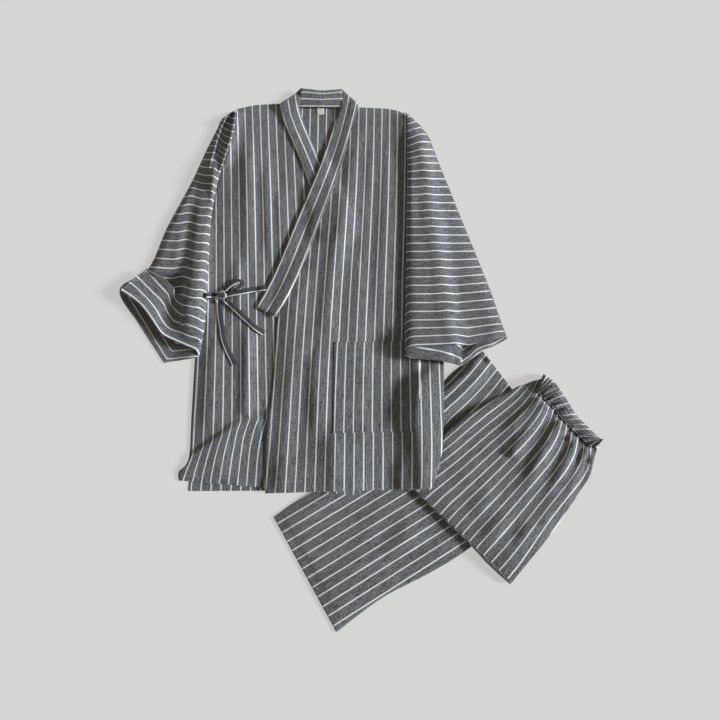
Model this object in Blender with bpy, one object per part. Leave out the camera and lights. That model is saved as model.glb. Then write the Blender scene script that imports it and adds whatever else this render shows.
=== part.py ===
"""A jinbei set laid flat: a wrapped jacket with its ties, over a pair of short trousers.

Every piece of cloth is laid in turn on the pile of those under it. A piece is a grid of
points between two edges, and its edges pass through a short table of sections.
Sizes are in millimetres until a mesh is made. +X is to the right, +Y towards the neck.
"""

import math
from collections import namedtuple

import bpy
import numpy as np

MM = 0.001

# Driving sizes
WALL = 1.5  # one thickness of cloth
DOUBLE = 3.4  # both walls of a flattened trouser leg
BAND = 2.8  # the folded collar
CASING = 9.0  # the gathered waistband, both sides together
GAP = 0.4  # clear space between two pieces that touch
CELL = 32.0  # a side of the grid on a large panel
STRIP_CELL = 14.0  # the same on a tie
REACH = 3.0  # pitch of the height field that the pieces are laid on

# Half sides of the field that the pieces are laid out in
HALF_WIDTH = 480.0
HALF_LENGTH = 570.0

# From the layout's zero to the middle of the finished set
CENTRE = (1.4, -4.4)

# The back's neck edge rises under the collar
NECK_X = -65.0
NECK_HALF = 70.0
NECK_RISE = 13.0

STRIPED = (0.050, 0.050, 0.055)
PLAIN = (0.035, 0.035, 0.040)
CREAM = (0.78, 0.72, 0.60)
CLOTH_ROUGHNESS = 0.9

# A section across a panel: a point on its left edge and one on its right edge
Section = namedtuple("Section", "left_x left_y right_x right_y")
# A soft ridge in a panel, from one end to the other
Fold = namedtuple("Fold", "start_x start_y end_x end_y width height")

LEG_LOWER = [
    Section(-128, -367, -19, -546),
    Section(-80, -331, 55, -494),
    Section(0, -285, 135, -455),
    Section(110, -228, 204, -414),
    Section(230, -172, 320, -330),
    Section(339, -148, 436, -247),
]

LEG_UNDER = [
    Section(245, -68, 366, -247),
    Section(172, -126, 350, -320),
    Section(128, -235, 322, -400),
    Section(115, -319, 268, -468),
]

LEG_UPPER = [
    Section(340, -147, 437, -246),
    Section(306, -148, 429, -275),
    Section(257, -165, 419, -305),
    Section(202, -197, 385, -352),
    Section(158, -240, 336, -407),
    Section(112, -321, 271, -472),
]

BACK = [
    Section(-243, 482, 124, 474),
    Section(-256, 400, 128, 395),
    Section(-272, 310, 136, 310),
    Section(-281, 200, 148, 200),
    Section(-284, 60, 162, 60),
    Section(-287, -60, 173, -60),
    Section(-284, -185, 169, -185),
    Section(-281, -262, 163, -262),
    Section(-272, -322, 145, -324),
]

RIGHT_FRONT = [
    Section(-243, 480, -112, 484),
    Section(-255, 408, -112, 408),
    Section(-272, 310, -78, 310),
    Section(-281, 200, -40, 200),
    Section(-284, 60, 10, 60),
    Section(-287, -60, 20, -60),
    Section(-284, -185, 20, -185),
    Section(-283, -268, 20, -262),
    Section(-296, -304, 20, -317),
]

LEFT_FRONT = [
    Section(14, 484, 124, 472),
    Section(2, 430, 127, 420),
    Section(-21, 335, 134, 335),
    Section(-56, 222, 146, 222),
    Section(-98, 95, 158, 95),
    Section(-136, 8, 167, 8),
    Section(-139, -60, 173, -60),
    Section(-140, -121, 173, -121),
    Section(-145, -190, 169, -190),
    Section(-148, -262, 163, -262),
    Section(-145, -327, 143, -320),
]

COLLAR_RIGHT = [
    Section(-66, 532, -66, 487),
    Section(-105, 537, -100, 488),
    Section(-138, 514, -110, 482),
    Section(-151, 474, -107, 466),
    Section(-135, 429, -95, 420),
    Section(-117, 381, -80, 381),
    Section(-99, 337, -64, 340),
    Section(-72, 260, -36, 262),
    Section(-40, 180, -3, 184),
    Section(-8, 100, 28, 108),
]

COLLAR_LEFT = [
    Section(-64, 487, -64, 532),
    Section(-29, 487, -22, 533),
    Section(-22, 480, 8, 508),
    Section(-24, 470, 12, 470),
    Section(-37, 419, 3, 430),
    Section(-62, 346, -20, 335),
    Section(-96, 250, -56, 221),
    Section(-140, 114, -98, 94),
    Section(-177, 21, -140, 3),
]

SLEEVE_RIGHT_UNDER = [
    Section(118, 464, 131, 457),
    Section(118, 400, 164, 400),
    Section(116, 300, 198, 300),
    Section(112, 200, 228, 200),
    Section(108, 80, 264, 80),
    Section(104, -20, 287, -20),
    Section(103, -70, 292, -52),
]

SLEEVE_RIGHT_OVER = [
    Section(118, 464, 131, 457),
    Section(118, 400, 164, 400),
    Section(116, 300, 198, 300),
    Section(112, 200, 228, 200),
    Section(108, 80, 264, 80),
    Section(104, -10, 287, -10),
    Section(102, -57, 293, -46),
]

SLEEVE_LEFT_UNDER = [
    Section(-259, 470, -246, 466),
    Section(-294, 403, -262, 403),
    Section(-326, 299, -279, 299),
    Section(-365, 195, -282, 195),
    Section(-397, 103, -278, 103),
    Section(-446, 57, -276, 30),
    Section(-398, -15, -277, -30),
    Section(-343, -90, -281, -80),
]

SLEEVE_LEFT_OVER = [
    Section(-259, 470, -246, 466),
    Section(-294, 403, -262, 403),
    Section(-326, 299, -279, 299),
    Section(-365, 195, -282, 195),
    Section(-397, 103, -277, 120),
    Section(-446, 59, -275, 60),
    Section(-398, 24, -274, 0),
    Section(-345, -40, -279, -75),
]

POCKET = [
    Section(-30, -50, 131, -48),
    Section(-30, -135, 128, -133),
    Section(-30, -222, 124, -218),
]

LABEL = [
    Section(-74, 484, -59, 484),
    Section(-73, 468, -58, 469),
]

# The waistband's outer edge and, across it, the edge that is sewn to the legs
WAISTBAND = [
    Section(357, -118, 341.5, -145.5),
    Section(394, -163, 370, -175),
    Section(423, -202, 401, -206),
    Section(449, -236, 440, -245.5),
]
GATHERS = 7
GATHER_HEIGHT = 1.6

# Width and middle line of each tie
TIE_WIDTH = 10.0
TIE_SIDE = [(-274, 46), (-264, 46), (-254, 46)]
TIE_FRONT = [(-241, 46), (-228, 50), (-213, 59), (-197, 63), (-184, 65)]
TIE_LOOP = [(-243, 57), (-232, 68), (-219, 76), (-210, 72), (-222, 58)]
TAIL_SIDE = [(-251, 34), (-252, 18), (-245, -13), (-233, -50), (-222, -92)]
TAIL_FRONT = [(-240, 36), (-225, 25), (-210, 13), (-190, -9), (-177, -24), (-162, -32)]
KNOT_CENTRE = (-247, 46)
KNOT_RADIUS = 9.0
KNOT_HEIGHT = 7.0

# Main folds
LEFT_FRONT_FOLDS = [
    Fold(-10, 360, -40, -250, 34, 3.0),
    Fold(90, 300, 60, -20, 30, 2.5),
]
RIGHT_FRONT_FOLDS = [
    Fold(-196, 430, -214, 40, 34, 3.0),
    Fold(-286, -268, -206, -208, 22, 5.0),
]
SLEEVE_RIGHT_FOLDS = [
    Fold(150, 420, 176, 120, 22, 9.0),
    Fold(176, 120, 196, -60, 24, 8.0),
]
SLEEVE_LEFT_FOLDS = [
    Fold(-284, 440, -300, 240, 20, 7.0),
    Fold(-380, 96, -318, 10, 22, 7.0),
]
LEG_UPPER_FOLDS = [
    Fold(372, -190, 300, -290, 24, 5.0),
    Fold(410, -235, 360, -330, 24, 5.0),
    Fold(130, -335, 258, -462, 22, 4.0),
]
LEG_LOWER_FOLDS = [Fold(-80, -440, 90, -360, 34, 2.0)]


class Pile:
    """The highest cloth so far, over a field of small squares."""

    def __init__(self):
        columns = int(2 * HALF_WIDTH / REACH) + 1
        rows = int(2 * HALF_LENGTH / REACH) + 1
        self.height = np.zeros((rows, columns))

    def place(self, x, y):
        column = np.clip(np.rint((x + HALF_WIDTH) / REACH).astype(int), 0, self.height.shape[1] - 1)
        row = np.clip(np.rint((y + HALF_LENGTH) / REACH).astype(int), 0, self.height.shape[0] - 1)
        return row, column

    def under(self, x, y, reach):
        """The lowest height that keeps a grid of this reach clear of the pile."""
        steps = int(math.ceil(reach / REACH)) + 1
        widest = self.height
        for axis in (0, 1):
            layers = [np.roll(widest, shift, axis) for shift in range(-steps, steps + 1)]
            widest = np.max(layers, axis=0)
        found = widest[self.place(x, y)]
        return np.where(found > 0, found + GAP, 0.0)

    def add(self, x, y, z):
        """Raise the pile to the top of a grid of points."""
        steps = int(math.ceil(2 * reach_of(x, y) / REACH)) + 1
        twist = np.abs(z[1:, 1:] + z[:-1, :-1] - z[1:, :-1] - z[:-1, 1:]) / 4
        for a in np.linspace(0, 1, steps):
            for b in np.linspace(0, 1, steps):
                spot = self.place(blend(x, a, b), blend(y, a, b))
                np.maximum.at(self.height, spot, blend(z, a, b) + twist)


def blend(grid, a, b):
    """The value at the share (a, b) of every square of a grid."""
    near = grid[:-1, :-1] * (1 - b) + grid[:-1, 1:] * b
    far = grid[1:, :-1] * (1 - b) + grid[1:, 1:] * b
    return near * (1 - a) + far * a


def along(points, count):
    """A smooth line through the points, cut in this many stretches of like share."""
    points = np.array(points, float)
    ends = np.vstack([2 * points[0] - points[1], points, 2 * points[-1] - points[-2]])
    found = []
    for share in np.linspace(0, len(points) - 1, count + 1):
        i = min(int(share), len(points) - 2)
        t = share - i
        a, b, c, d = ends[i : i + 4]
        bend = 2 * b + (c - a) * t + (2 * a - 5 * b + 4 * c - d) * t**2
        found.append(0.5 * (bend + (3 * b - a - 3 * c + d) * t**3))
    return np.array(found)


def grid_of(sections, cell, across=None, down=None):
    """(x, y) of a panel's grid: rows down the panel, columns from its left to its right edge."""
    left = [(s.left_x, s.left_y) for s in sections]
    right = [(s.right_x, s.right_y) for s in sections]
    length = max(sum(math.dist(a, b) for a, b in zip(e, e[1:])) for e in (left, right))
    width = max(math.dist(a, b) for a, b in zip(left, right))
    down = down or max(2, round(length / cell))
    across = across or max(2, round(width / cell))
    left, right = along(left, down), along(right, down)
    shares = np.linspace(0, 1, across + 1)
    grid = left[:, None, :] * (1 - shares[None, :, None]) + right[:, None, :] * shares[None, :, None]
    return grid[..., 0], grid[..., 1]


def reach_of(x, y):
    """The furthest that two corners of one square lie apart, along either axis."""
    first, last = slice(None, -1), slice(1, None)
    pairs = [
        ((last, slice(None)), (first, slice(None))),
        ((slice(None), last), (slice(None), first)),
        ((last, last), (first, first)),
        ((last, first), (first, last)),
    ]
    return max(np.abs(a[one] - a[other]).max() for a in (x, y) for one, other in pairs)


def ridges(x, y, folds):
    """The height that the folds add at each point."""
    height = np.zeros(x.shape)
    for fold in folds:
        run = np.array([fold.end_x - fold.start_x, fold.end_y - fold.start_y], float)
        length = np.hypot(*run)
        run /= length
        off_x, off_y = x - fold.start_x, y - fold.start_y
        share = np.clip((off_x * run[0] + off_y * run[1]) / length, 0, 1)
        gap = np.hypot(off_x - share * length * run[0], off_y - share * length * run[1])
        height = np.maximum(height, fold.height * np.exp(-((gap / fold.width) ** 2)))
    return height


def principled(name, colour, roughness):
    material = bpy.data.materials.new(name)
    material.use_nodes = True
    shader = material.node_tree.nodes["Principled BSDF"]
    shader.inputs["Base Color"].default_value = (*colour, 1)
    shader.inputs["Roughness"].default_value = roughness
    shader.inputs["Metallic"].default_value = 0.0
    return material


def thick_sheet(name, outer, inner, colour):
    """A closed solid between two grids of points, each (rows, columns, 3) in millimetres."""
    rows, columns = outer.shape[:2]
    points = np.concatenate([outer.reshape(-1, 3), inner.reshape(-1, 3)])
    shift = rows * columns
    number = np.arange(shift).reshape(rows, columns)
    faces = []
    for r in range(rows - 1):
        for c in range(columns - 1):
            a, b = int(number[r, c]), int(number[r, c + 1])
            d, e = int(number[r + 1, c]), int(number[r + 1, c + 1])
            faces += [(a, b, e), (a, e, d)]
            faces += [(shift + a, shift + e, shift + b), (shift + a, shift + d, shift + e)]
    rim = [*number[0, :], *number[1:, -1], *number[-1, -2::-1], *number[-2:0:-1, 0]]
    for a, b in zip(rim, rim[1:] + rim[:1]):
        a, b = int(a), int(b)
        faces += [(b, a, shift + a), (b, shift + a, shift + b)]
    if np.linalg.det(points[np.array(faces)]).sum() < 0:
        faces = [face[::-1] for face in faces]
    add_piece(name, points, faces, colour)


def add_piece(name, points, faces, colour):
    """A mesh object of its own finish, from points in the layout's millimetres."""
    mesh = bpy.data.meshes.new(name)
    placed = (np.array(points) - (*CENTRE, 0)) * MM
    mesh.from_pydata(placed.tolist(), [], faces)
    mesh.shade_smooth()
    mesh.set_sharp_from_angle(angle=math.radians(50))
    mesh.materials.append(principled(name + "_finish", colour, CLOTH_ROUGHNESS))
    thing = bpy.data.objects.new(name, mesh)
    bpy.context.scene.collection.objects.link(thing)


def stack(x, y, z):
    return np.stack([x, y, z], axis=-1)


def lay_panel(pile, name, sections, thick=WALL, cell=CELL, folds=(), colour=STRIPED, neck=False):
    """One layer of cloth, resting on what is already there."""
    x, y = grid_of(sections, cell)
    if neck:
        y[0] += NECK_RISE * np.exp(-(((x[0] - NECK_X) / NECK_HALF) ** 4))
    under = pile.under(x, y, reach_of(x, y)) + ridges(x, y, folds)
    thick_sheet(name, stack(x, y, under + thick), stack(x, y, under), colour)
    pile.add(x, y, under + thick)


def lay_sleeve(pile, name, below, above, outer_on_left, folds):
    """A sleeve: its under layer, a fold along its outer edge, and its upper layer."""
    x0, y0 = grid_of(below, CELL, across=5, down=18)
    x1, y1 = grid_of(above, CELL, across=5, down=18)
    if not outer_on_left:
        x0, y0, x1, y1 = x0[:, ::-1], y0[:, ::-1], x1[:, ::-1], y1[:, ::-1]
    low = pile.under(x0, y0, reach_of(x0, y0))
    pile.add(x0, y0, low + WALL)
    high = pile.under(x1, y1, reach_of(x1, y1)) + ridges(x1, y1, folds)
    pile.add(x1, y1, high + WALL)
    # From the seam edge of the under layer, round the outer edge, to the seam edge above it
    x = np.hstack([x0[:, ::-1], x1])
    y = np.hstack([y0[:, ::-1], y1])
    outside = np.hstack([low[:, ::-1], high + WALL])
    inside = np.hstack([low[:, ::-1] + WALL, high])
    turn = x0.shape[1]
    inner_x = x.copy()
    inward = 1 if outer_on_left else -1
    inner_x[:, turn - 1 : turn + 1] += inward * WALL
    thick_sheet(name, stack(x, y, outside), stack(inner_x, y, inside), STRIPED)


def strip_sections(middle, width):
    """Sections across a strip whose middle line passes through these points."""
    middle = np.array(middle, float)
    heading = np.gradient(middle, axis=0)
    heading /= np.linalg.norm(heading, axis=1)[:, None]
    side = np.stack([-heading[:, 1], heading[:, 0]], axis=1) * width / 2
    return [Section(*(m + s), *(m - s)) for m, s in zip(middle, side)]


def lay_tie(pile, name, middle):
    lay_panel(pile, name, strip_sections(middle, TIE_WIDTH), cell=STRIP_CELL, colour=PLAIN)


def lay_knot(pile, name, turns=12, rings=4):
    """A small rounded knot with a flat foot."""
    angles = np.linspace(0, 2 * math.pi, turns, endpoint=False)
    foot_x = KNOT_CENTRE[0] + KNOT_RADIUS * np.cos(angles)
    foot_y = KNOT_CENTRE[1] + KNOT_RADIUS * np.sin(angles)
    base = float(pile.under(foot_x, foot_y, KNOT_RADIUS).max())
    points = [(KNOT_CENTRE[0], KNOT_CENTRE[1], base)]
    for ring in range(rings):
        lean = math.pi / 2 * ring / rings
        radius = KNOT_RADIUS * math.cos(lean)
        height = base + KNOT_HEIGHT * math.sin(lean)
        for angle in angles:
            across = KNOT_CENTRE[0] + radius * math.cos(angle)
            up = KNOT_CENTRE[1] + radius * math.sin(angle)
            points.append((across, up, height))
    points.append((KNOT_CENTRE[0], KNOT_CENTRE[1], base + KNOT_HEIGHT))
    faces = []
    for k in range(turns):
        after = (k + 1) % turns
        faces.append((0, 1 + after, 1 + k))
        for ring in range(rings - 1):
            a, b = 1 + ring * turns + k, 1 + ring * turns + after
            faces += [(a, b, b + turns), (a, b + turns, a + turns)]
        last = 1 + (rings - 1) * turns
        faces.append((last + k, last + after, len(points) - 1))
    add_piece(name, points, faces, PLAIN)


def lay_waistband(pile, name):
    """The gathered casing, standing on the floor beside the ends of both legs."""
    x, y = grid_of(WAISTBAND, CELL, across=2, down=2 * GATHERS)
    wave = np.where(np.arange(x.shape[0]) % 2, GATHER_HEIGHT, 0.0)[:, None]
    crown = np.array([-2.0, 0.0, -1.0])[None, :]
    top = CASING + wave + crown
    thick_sheet(name, stack(x, y, top), stack(x, y, np.zeros(x.shape)), STRIPED)
    pile.add(x, y, top)


def main():
    for thing in list(bpy.data.objects):
        bpy.data.objects.remove(thing)
    pile = Pile()
    lay_panel(pile, "trouser_leg_lower", LEG_LOWER, thick=DOUBLE, folds=LEG_LOWER_FOLDS)
    lay_panel(pile, "trouser_leg_under", LEG_UNDER, thick=DOUBLE)
    lay_panel(pile, "trouser_leg_upper", LEG_UPPER, thick=DOUBLE, folds=LEG_UPPER_FOLDS)
    lay_waistband(pile, "waistband")
    lay_panel(pile, "jacket_back", BACK, neck=True)
    lay_panel(pile, "neck_label", LABEL, thick=1.0, cell=8.0, colour=CREAM)
    lay_panel(pile, "right_front", RIGHT_FRONT, folds=RIGHT_FRONT_FOLDS)
    lay_panel(pile, "collar_right", COLLAR_RIGHT, thick=BAND)
    lay_panel(pile, "left_front", LEFT_FRONT, folds=LEFT_FRONT_FOLDS)
    lay_panel(pile, "pocket", POCKET)
    lay_panel(pile, "collar_left", COLLAR_LEFT, thick=BAND)
    lay_sleeve(pile, "sleeve_right", SLEEVE_RIGHT_UNDER, SLEEVE_RIGHT_OVER, False,
               SLEEVE_RIGHT_FOLDS)
    lay_sleeve(pile, "sleeve_left", SLEEVE_LEFT_UNDER, SLEEVE_LEFT_OVER, True,
               SLEEVE_LEFT_FOLDS)
    lay_tie(pile, "tie_side", TIE_SIDE)
    lay_tie(pile, "tie_front", TIE_FRONT)
    lay_tie(pile, "tie_tail_side", TAIL_SIDE)
    lay_tie(pile, "tie_tail_front", TAIL_FRONT)
    lay_tie(pile, "tie_loop", TIE_LOOP)
    lay_knot(pile, "tie_knot")


main()
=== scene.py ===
"""A jinbei set laid flat: the looks of the wrapped jacket, its ties and the short trousers."""

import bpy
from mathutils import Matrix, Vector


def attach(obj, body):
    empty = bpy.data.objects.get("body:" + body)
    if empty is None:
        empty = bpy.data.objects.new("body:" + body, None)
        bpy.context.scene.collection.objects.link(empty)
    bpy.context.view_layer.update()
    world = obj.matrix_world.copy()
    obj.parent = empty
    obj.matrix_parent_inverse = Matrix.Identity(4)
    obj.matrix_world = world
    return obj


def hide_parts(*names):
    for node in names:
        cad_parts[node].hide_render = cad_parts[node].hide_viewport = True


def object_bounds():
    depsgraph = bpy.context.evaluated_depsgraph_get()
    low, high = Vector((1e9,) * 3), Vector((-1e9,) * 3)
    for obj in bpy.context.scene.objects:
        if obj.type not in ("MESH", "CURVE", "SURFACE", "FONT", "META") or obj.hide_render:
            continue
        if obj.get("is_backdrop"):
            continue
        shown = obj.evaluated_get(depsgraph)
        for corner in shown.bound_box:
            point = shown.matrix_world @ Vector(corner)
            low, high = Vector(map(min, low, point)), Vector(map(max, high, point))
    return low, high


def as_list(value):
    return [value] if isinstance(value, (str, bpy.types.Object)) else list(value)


bl_info = {
    "name": "Jinbei set",
    "version": (1, 0, 0),
    "blender": (4, 5, 0),
    "location": "View3D > Sidebar > Jinbei",
    "description": "Lays out a striped cotton jinbei jacket and its short trousers",
    "category": "Object",
}

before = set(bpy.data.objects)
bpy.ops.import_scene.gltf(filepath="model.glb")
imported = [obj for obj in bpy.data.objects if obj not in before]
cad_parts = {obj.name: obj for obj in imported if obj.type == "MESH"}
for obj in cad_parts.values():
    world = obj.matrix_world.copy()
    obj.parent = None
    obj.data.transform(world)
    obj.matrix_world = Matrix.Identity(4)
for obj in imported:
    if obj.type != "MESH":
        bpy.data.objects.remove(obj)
cad_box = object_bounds()

import math
from collections import namedtuple

import bpy
import numpy as np
from bpy.props import FloatProperty, FloatVectorProperty, PointerProperty
from mathutils import Vector
from mathutils.bvhtree import BVHTree

MM = 0.001

# The pieces are drawn in millimetres from the layout's zero; the set's middle is here
CENTRE = np.array([1.4, -4.4, 0.0])

# Half sides of the height field that the pieces are laid on, and its pitch
FIELD_X = 490.0
FIELD_Y = 580.0
PITCH = 2.0

# The outlines below are sighted from this point on to a level just over the floor, so cloth
# that lies higher comes in along the sight line
SIGHT = np.array([19.0, -423.6, 1050.0])
SIGHT_LEVEL = 8.0

# Clear space between two cloths, how far a cloth bridges a step, and the pitch of the stripes
GAP = 0.25
DRAPE = 7.0
STRIPE = 17.0

# A turned-back edge bulges no further than this
MOST_BULGE = 7.0
# A sleeve that would lie higher than this settles, by this much at most
SETTLES_ABOVE = 26.0
SETTLES_WITHIN = 13.0
# Rays look down on the cloth from here
LOOK_FROM = 500.0

Section = namedtuple("Section", "left_x left_y right_x right_y")
# A soft ridge, or a trough if rise is below zero: its line, its reach to either side of the
# line, and the share of its length over which each end dies away
Fold = namedtuple("Fold", "line rise left right fade_in fade_out")
# Where the numbered stripes lie along one line across a piece
StripeRow = namedtuple("StripeRow", "y places")


# ---------------------------------------------------------------- outlines

LEG_LOWER = [
    Section(-128, -367, -19, -546),
    Section(-80, -333, 55, -495),
    Section(0, -285, 135, -456),
    Section(110, -228, 204, -416),
    Section(230, -172, 320, -330),
    Section(341, -143, 439, -246),
]
LEG_UNDER = [
    Section(248, -68, 366, -247),
    Section(172, -128, 350, -320),
    Section(128, -238, 320, -400),
    Section(114, -320, 269, -470),
]
LEG_UPPER = [
    Section(351, -122, 440, -245),
    Section(336, -126, 434, -260),
    Section(318, -133, 428, -276),
    Section(304, -138, 419, -298),
    Section(257, -164, 398, -325),
    Section(202, -197, 372, -358),
    Section(158, -240, 334, -403),
    Section(114, -320, 270, -471),
]
BACK = [
    Section(-243, 482, 124, 472),
    Section(-256, 400, 128, 395),
    Section(-270, 310, 136, 310),
    Section(-278, 200, 148, 200),
    Section(-282, 60, 162, 60),
    Section(-285, -60, 172, -60),
    Section(-283, -185, 168, -185),
    Section(-279, -262, 162, -262),
    Section(-278, -323, 143, -321),
]
# The rounded line of the shoulders, from the left armhole to the neck and on to the right one
SHOULDERS = [(-262, 470), (-252, 477), (-243, 483), (-232, 486), (-215, 491), (-200, 493.5),
             (-180, 494.5), (-112, 500), (-60, 496), (12, 487), (50, 485), (80, 483), (100, 478),
             (112, 472), (120, 467), (126, 463)]
RIGHT_FRONT = [
    Section(-246, 479, -112, 500),
    Section(-254, 408, -112, 420),
    Section(-271, 312, -78, 320),
    Section(-280, 205, -40, 210),
    Section(-284, 60, 10, 60),
    Section(-287, -60, 20, -60),
    Section(-284, -185, 20, -185),
    Section(-282, -266, 20, -255),
    Section(-297, -290, 20, -290),
    Section(-296, -305, 20, -331),
]
LEFT_FRONT = [
    Section(12, 486, 124, 471),
    Section(0, 430, 127, 420),
    Section(-23, 335, 134, 335),
    Section(-58, 222, 146, 222),
    Section(-100, 95, 158, 95),
    Section(-136, 8, 167, 8),
    Section(-139, -60, 173, -60),
    Section(-140, -121, 173, -121),
    Section(-145, -190, 169, -190),
    Section(-148, -262, 162, -262),
    Section(-145, -327, 143, -319),
]
# Each collar is a band down its front, and half of the band that stands behind the neck
COLLAR_RIGHT = [
    Section(-110, 538, -106, 537),
    Section(-121, 524, -109, 521),
    Section(-137, 510, -111, 505),
    Section(-152, 497, -112, 489),
    Section(-151, 481, -109, 473),
    Section(-145, 451, -101, 447),
    Section(-134, 424, -92, 421),
    Section(-117, 381, -78, 383),
    Section(-99, 337, -62, 342),
    Section(-72, 260, -36, 264),
    Section(-40, 180, -3, 186),
]
COLLAR_LEFT = [
    Section(-24, 536, -20, 535),
    Section(-21, 522, -8, 521),
    Section(-22, 508, 2, 510),
    Section(-23, 492, 13, 495),
    Section(-26, 476, 12, 478),
    Section(-34, 446, 3, 444),
    Section(-44, 417, -5, 413),
    Section(-62, 348, -21, 335),
    Section(-96, 250, -56, 224),
    Section(-140, 116, -98, 96),
    Section(-179, 22, -140, 1),
]
NECK_BAND = [
    Section(-112, 489, -19, 488),
    Section(-111, 512, -20, 510),
    Section(-109, 537, -21, 535),
]
# Points on numbered stripes of the collars: number, then x and y
COLLAR_RIGHT_MARKS = [
    (0, -121, 520), (0, -119, 500), (0, -117, 485), (0, -108, 460), (0, -96, 425), (0, -86, 397),
    (0, -65, 340), (0, -40, 264), (-1, -137, 509), (-1, -134, 490), (-1, -128, 460),
    (-1, -118, 430), (-1, -105, 400), (-1, -82, 340), (-1, -58, 264), (-2, -152, 495),
    (-2, -149, 480), (-2, -141, 450), (-2, -131, 425), (-2, -123, 400), (-2, -98, 338),
    (-2, -76, 264),
]
COLLAR_LEFT_MARKS = [
    (0, -6, 515), (0, -8, 500), (0, -9, 485), (0, -16, 450), (0, -22, 425), (0, -32, 397),
    (0, -42, 342), (0, -76, 237), (0, -118, 106), (0, -160, 12), (1, 10, 498), (1, 9, 480),
    (1, 3, 455), (1, -5, 425), (1, -13, 397), (1, -25, 335), (1, -59, 226), (1, -101, 98),
    (1, -143, 3), (-1, -59, 346), (-1, -93, 248), (-1, -136, 114), (-1, -177, 20),
    (-1, -44, 402), (-1, -34, 432),
]

SLEEVE_RIGHT_UNDER = [
    Section(119, 468.5, 121, 467.5),
    Section(119, 458, 131.5, 457),
    Section(119, 443, 142.5, 441),
    Section(118, 426, 151.5, 424),
    Section(118, 400, 165, 400),
    Section(116, 300, 196, 300),
    Section(112, 200, 226, 200),
    Section(108, 80, 262, 80),
    Section(104, -20, 285, -16),
    Section(103, -66, 292, -52),
]
SLEEVE_RIGHT_OVER = [
    Section(119, 468.5, 121, 467.5),
    Section(119, 458, 131.5, 457),
    Section(119, 443, 142.5, 441),
    Section(118, 426, 151.5, 424),
    Section(118, 400, 165, 400),
    Section(116, 300, 196, 300),
    Section(112, 200, 226, 200),
    Section(108, 80, 262, 80),
    Section(104, -10, 285, -10),
    Section(103, -56, 294, -46),
]
# The mouth of the right sleeve: the front layer's hem, and the back layer's below it
MOUTH_FRONT = [(103, -67), (106, -63), (113, -59), (122, -57), (150, -56), (190, -54), (200, -53),
               (208, -55), (222, -58), (232, -56), (260, -51), (280, -46), (294, -46)]
MOUTH_BACK = [(103, -70), (112, -75), (130, -79), (150, -82), (170, -86), (190, -92), (207, -100),
              (222, -90), (237, -76), (250, -70), (268, -65), (285, -56), (294, -49)]
SLEEVE_LEFT_UNDER = [
    Section(-252, 477, -246, 475),
    Section(-262, 468, -247, 463),
    Section(-271, 453, -247.5, 448),
    Section(-278.5, 438, -249, 434),
    Section(-293, 402, -253, 402),
    Section(-326, 299, -277, 299),
    Section(-365, 195, -280, 195),
    Section(-393, 103, -278, 103),
    Section(-444, 57, -276, 30),
    Section(-398, -15, -277, -30),
    Section(-343, -90, -281, -80),
]
SLEEVE_LEFT_OVER = [
    Section(-252, 477, -246, 475),
    Section(-262, 468, -247, 463),
    Section(-271, 453, -247.5, 448),
    Section(-278.5, 438, -249, 434),
    Section(-293, 402, -253, 402),
    Section(-326, 299, -273, 299),
    Section(-365, 195, -280, 195),
    Section(-393, 103, -277, 120),
    Section(-443, 57, -275, 50),
    Section(-397, -14, -275, -25),
    Section(-343, -90, -281, -80),
]
# The turned cuff, between its lines of stripes: from the edge it folds at down to its hem
CUFF_TOP = [(-398, 103), (-385, 95), (-370, 87), (-358, 79), (-349, 70), (-341, 61), (-337, 51),
            (-331, 46), (-320, 45), (-308, 42), (-300, 40), (-290, 42), (-282, 38), (-276, 30)]
CUFF_1 = [(-400, 99), (-390, 90), (-376, 75), (-364, 62), (-356, 54), (-350, 47), (-346, 37),
          (-341, 24), (-324, 8), (-310, 6), (-300, 3), (-290, -1), (-282, -6), (-276, -10)]
CUFF_2 = [(-415, 86), (-405, 77), (-391, 63), (-378, 50), (-368, 41), (-361, 34), (-355, 25),
          (-347, 10), (-333, -7), (-315, -12), (-300, -17), (-290, -21), (-282, -25), (-276, -30)]
CUFF_3 = [(-428, 74), (-417, 66), (-403, 53), (-390, 40), (-380, 29), (-371, 18), (-365, 9),
          (-356, -6), (-341, -22), (-318, -31), (-300, -38), (-290, -41), (-283, -44), (-277, -52)]
CUFF_4 = [(-441, 59), (-430, 52), (-414, 41), (-399, 28), (-390, 18), (-382, 8), (-375, -1),
          (-366, -14), (-350, -33), (-322, -47), (-304, -55), (-292, -60), (-284, -65), (-279, -74)]
CUFF_HEM = [(-444, 56), (-433, 49), (-417, 38), (-402, 25), (-393, 15), (-385, 5), (-378, -4),
            (-368, -17), (-352, -36), (-323, -50), (-305, -58), (-292, -63), (-285, -69), (-281, -77)]
CUFF_LINES = (CUFF_TOP, CUFF_1, CUFF_2, CUFF_3, CUFF_4, CUFF_HEM)
# The stripe number along the cuff's top edge, and the lift of each line above the sleeve
CUFF_TOP_NUMBERS = (0.42, 0.45, 0.4, 0.38, 0.35, 0.1, -0.25, -0.7, -1, -1, -1, -1, -1, -1)
CUFF_LIFTS = (
    (8, 10, 12, 13, 13, 12, 9, 3.5, -1.7, -1.7, -1.7, -1.7, -1.7, -1.7),
    (8, 9, 10, 10, 9, 8, 5, 3.0, 1.6, 1.2, 1.0, 1.0, 1.0, 0.6),
    (10, 11, 11, 10, 8, 6.5, 5, 3, 1.2, 1, 1, 1, 1, 0.8),
    (12, 13, 13, 12, 11, 9.5, 8, 5, 2.5, 1.6, 1.5, 1.5, 1.5, 1.0),
    (13, 15, 16, 16, 15, 14, 13, 10, 6.5, 4, 3, 2.5, 2.5, 1.2),
    (12, 14, 15, 15, 14, 13, 12, 9.5, 6, 3.8, 2.8, 2.3, 2.3, 1.0),
)
POCKET = [
    Section(-30, -50, 131, -48),
    Section(-30, -135, 128, -133),
    Section(-30, -222, 124, -218),
]
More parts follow.
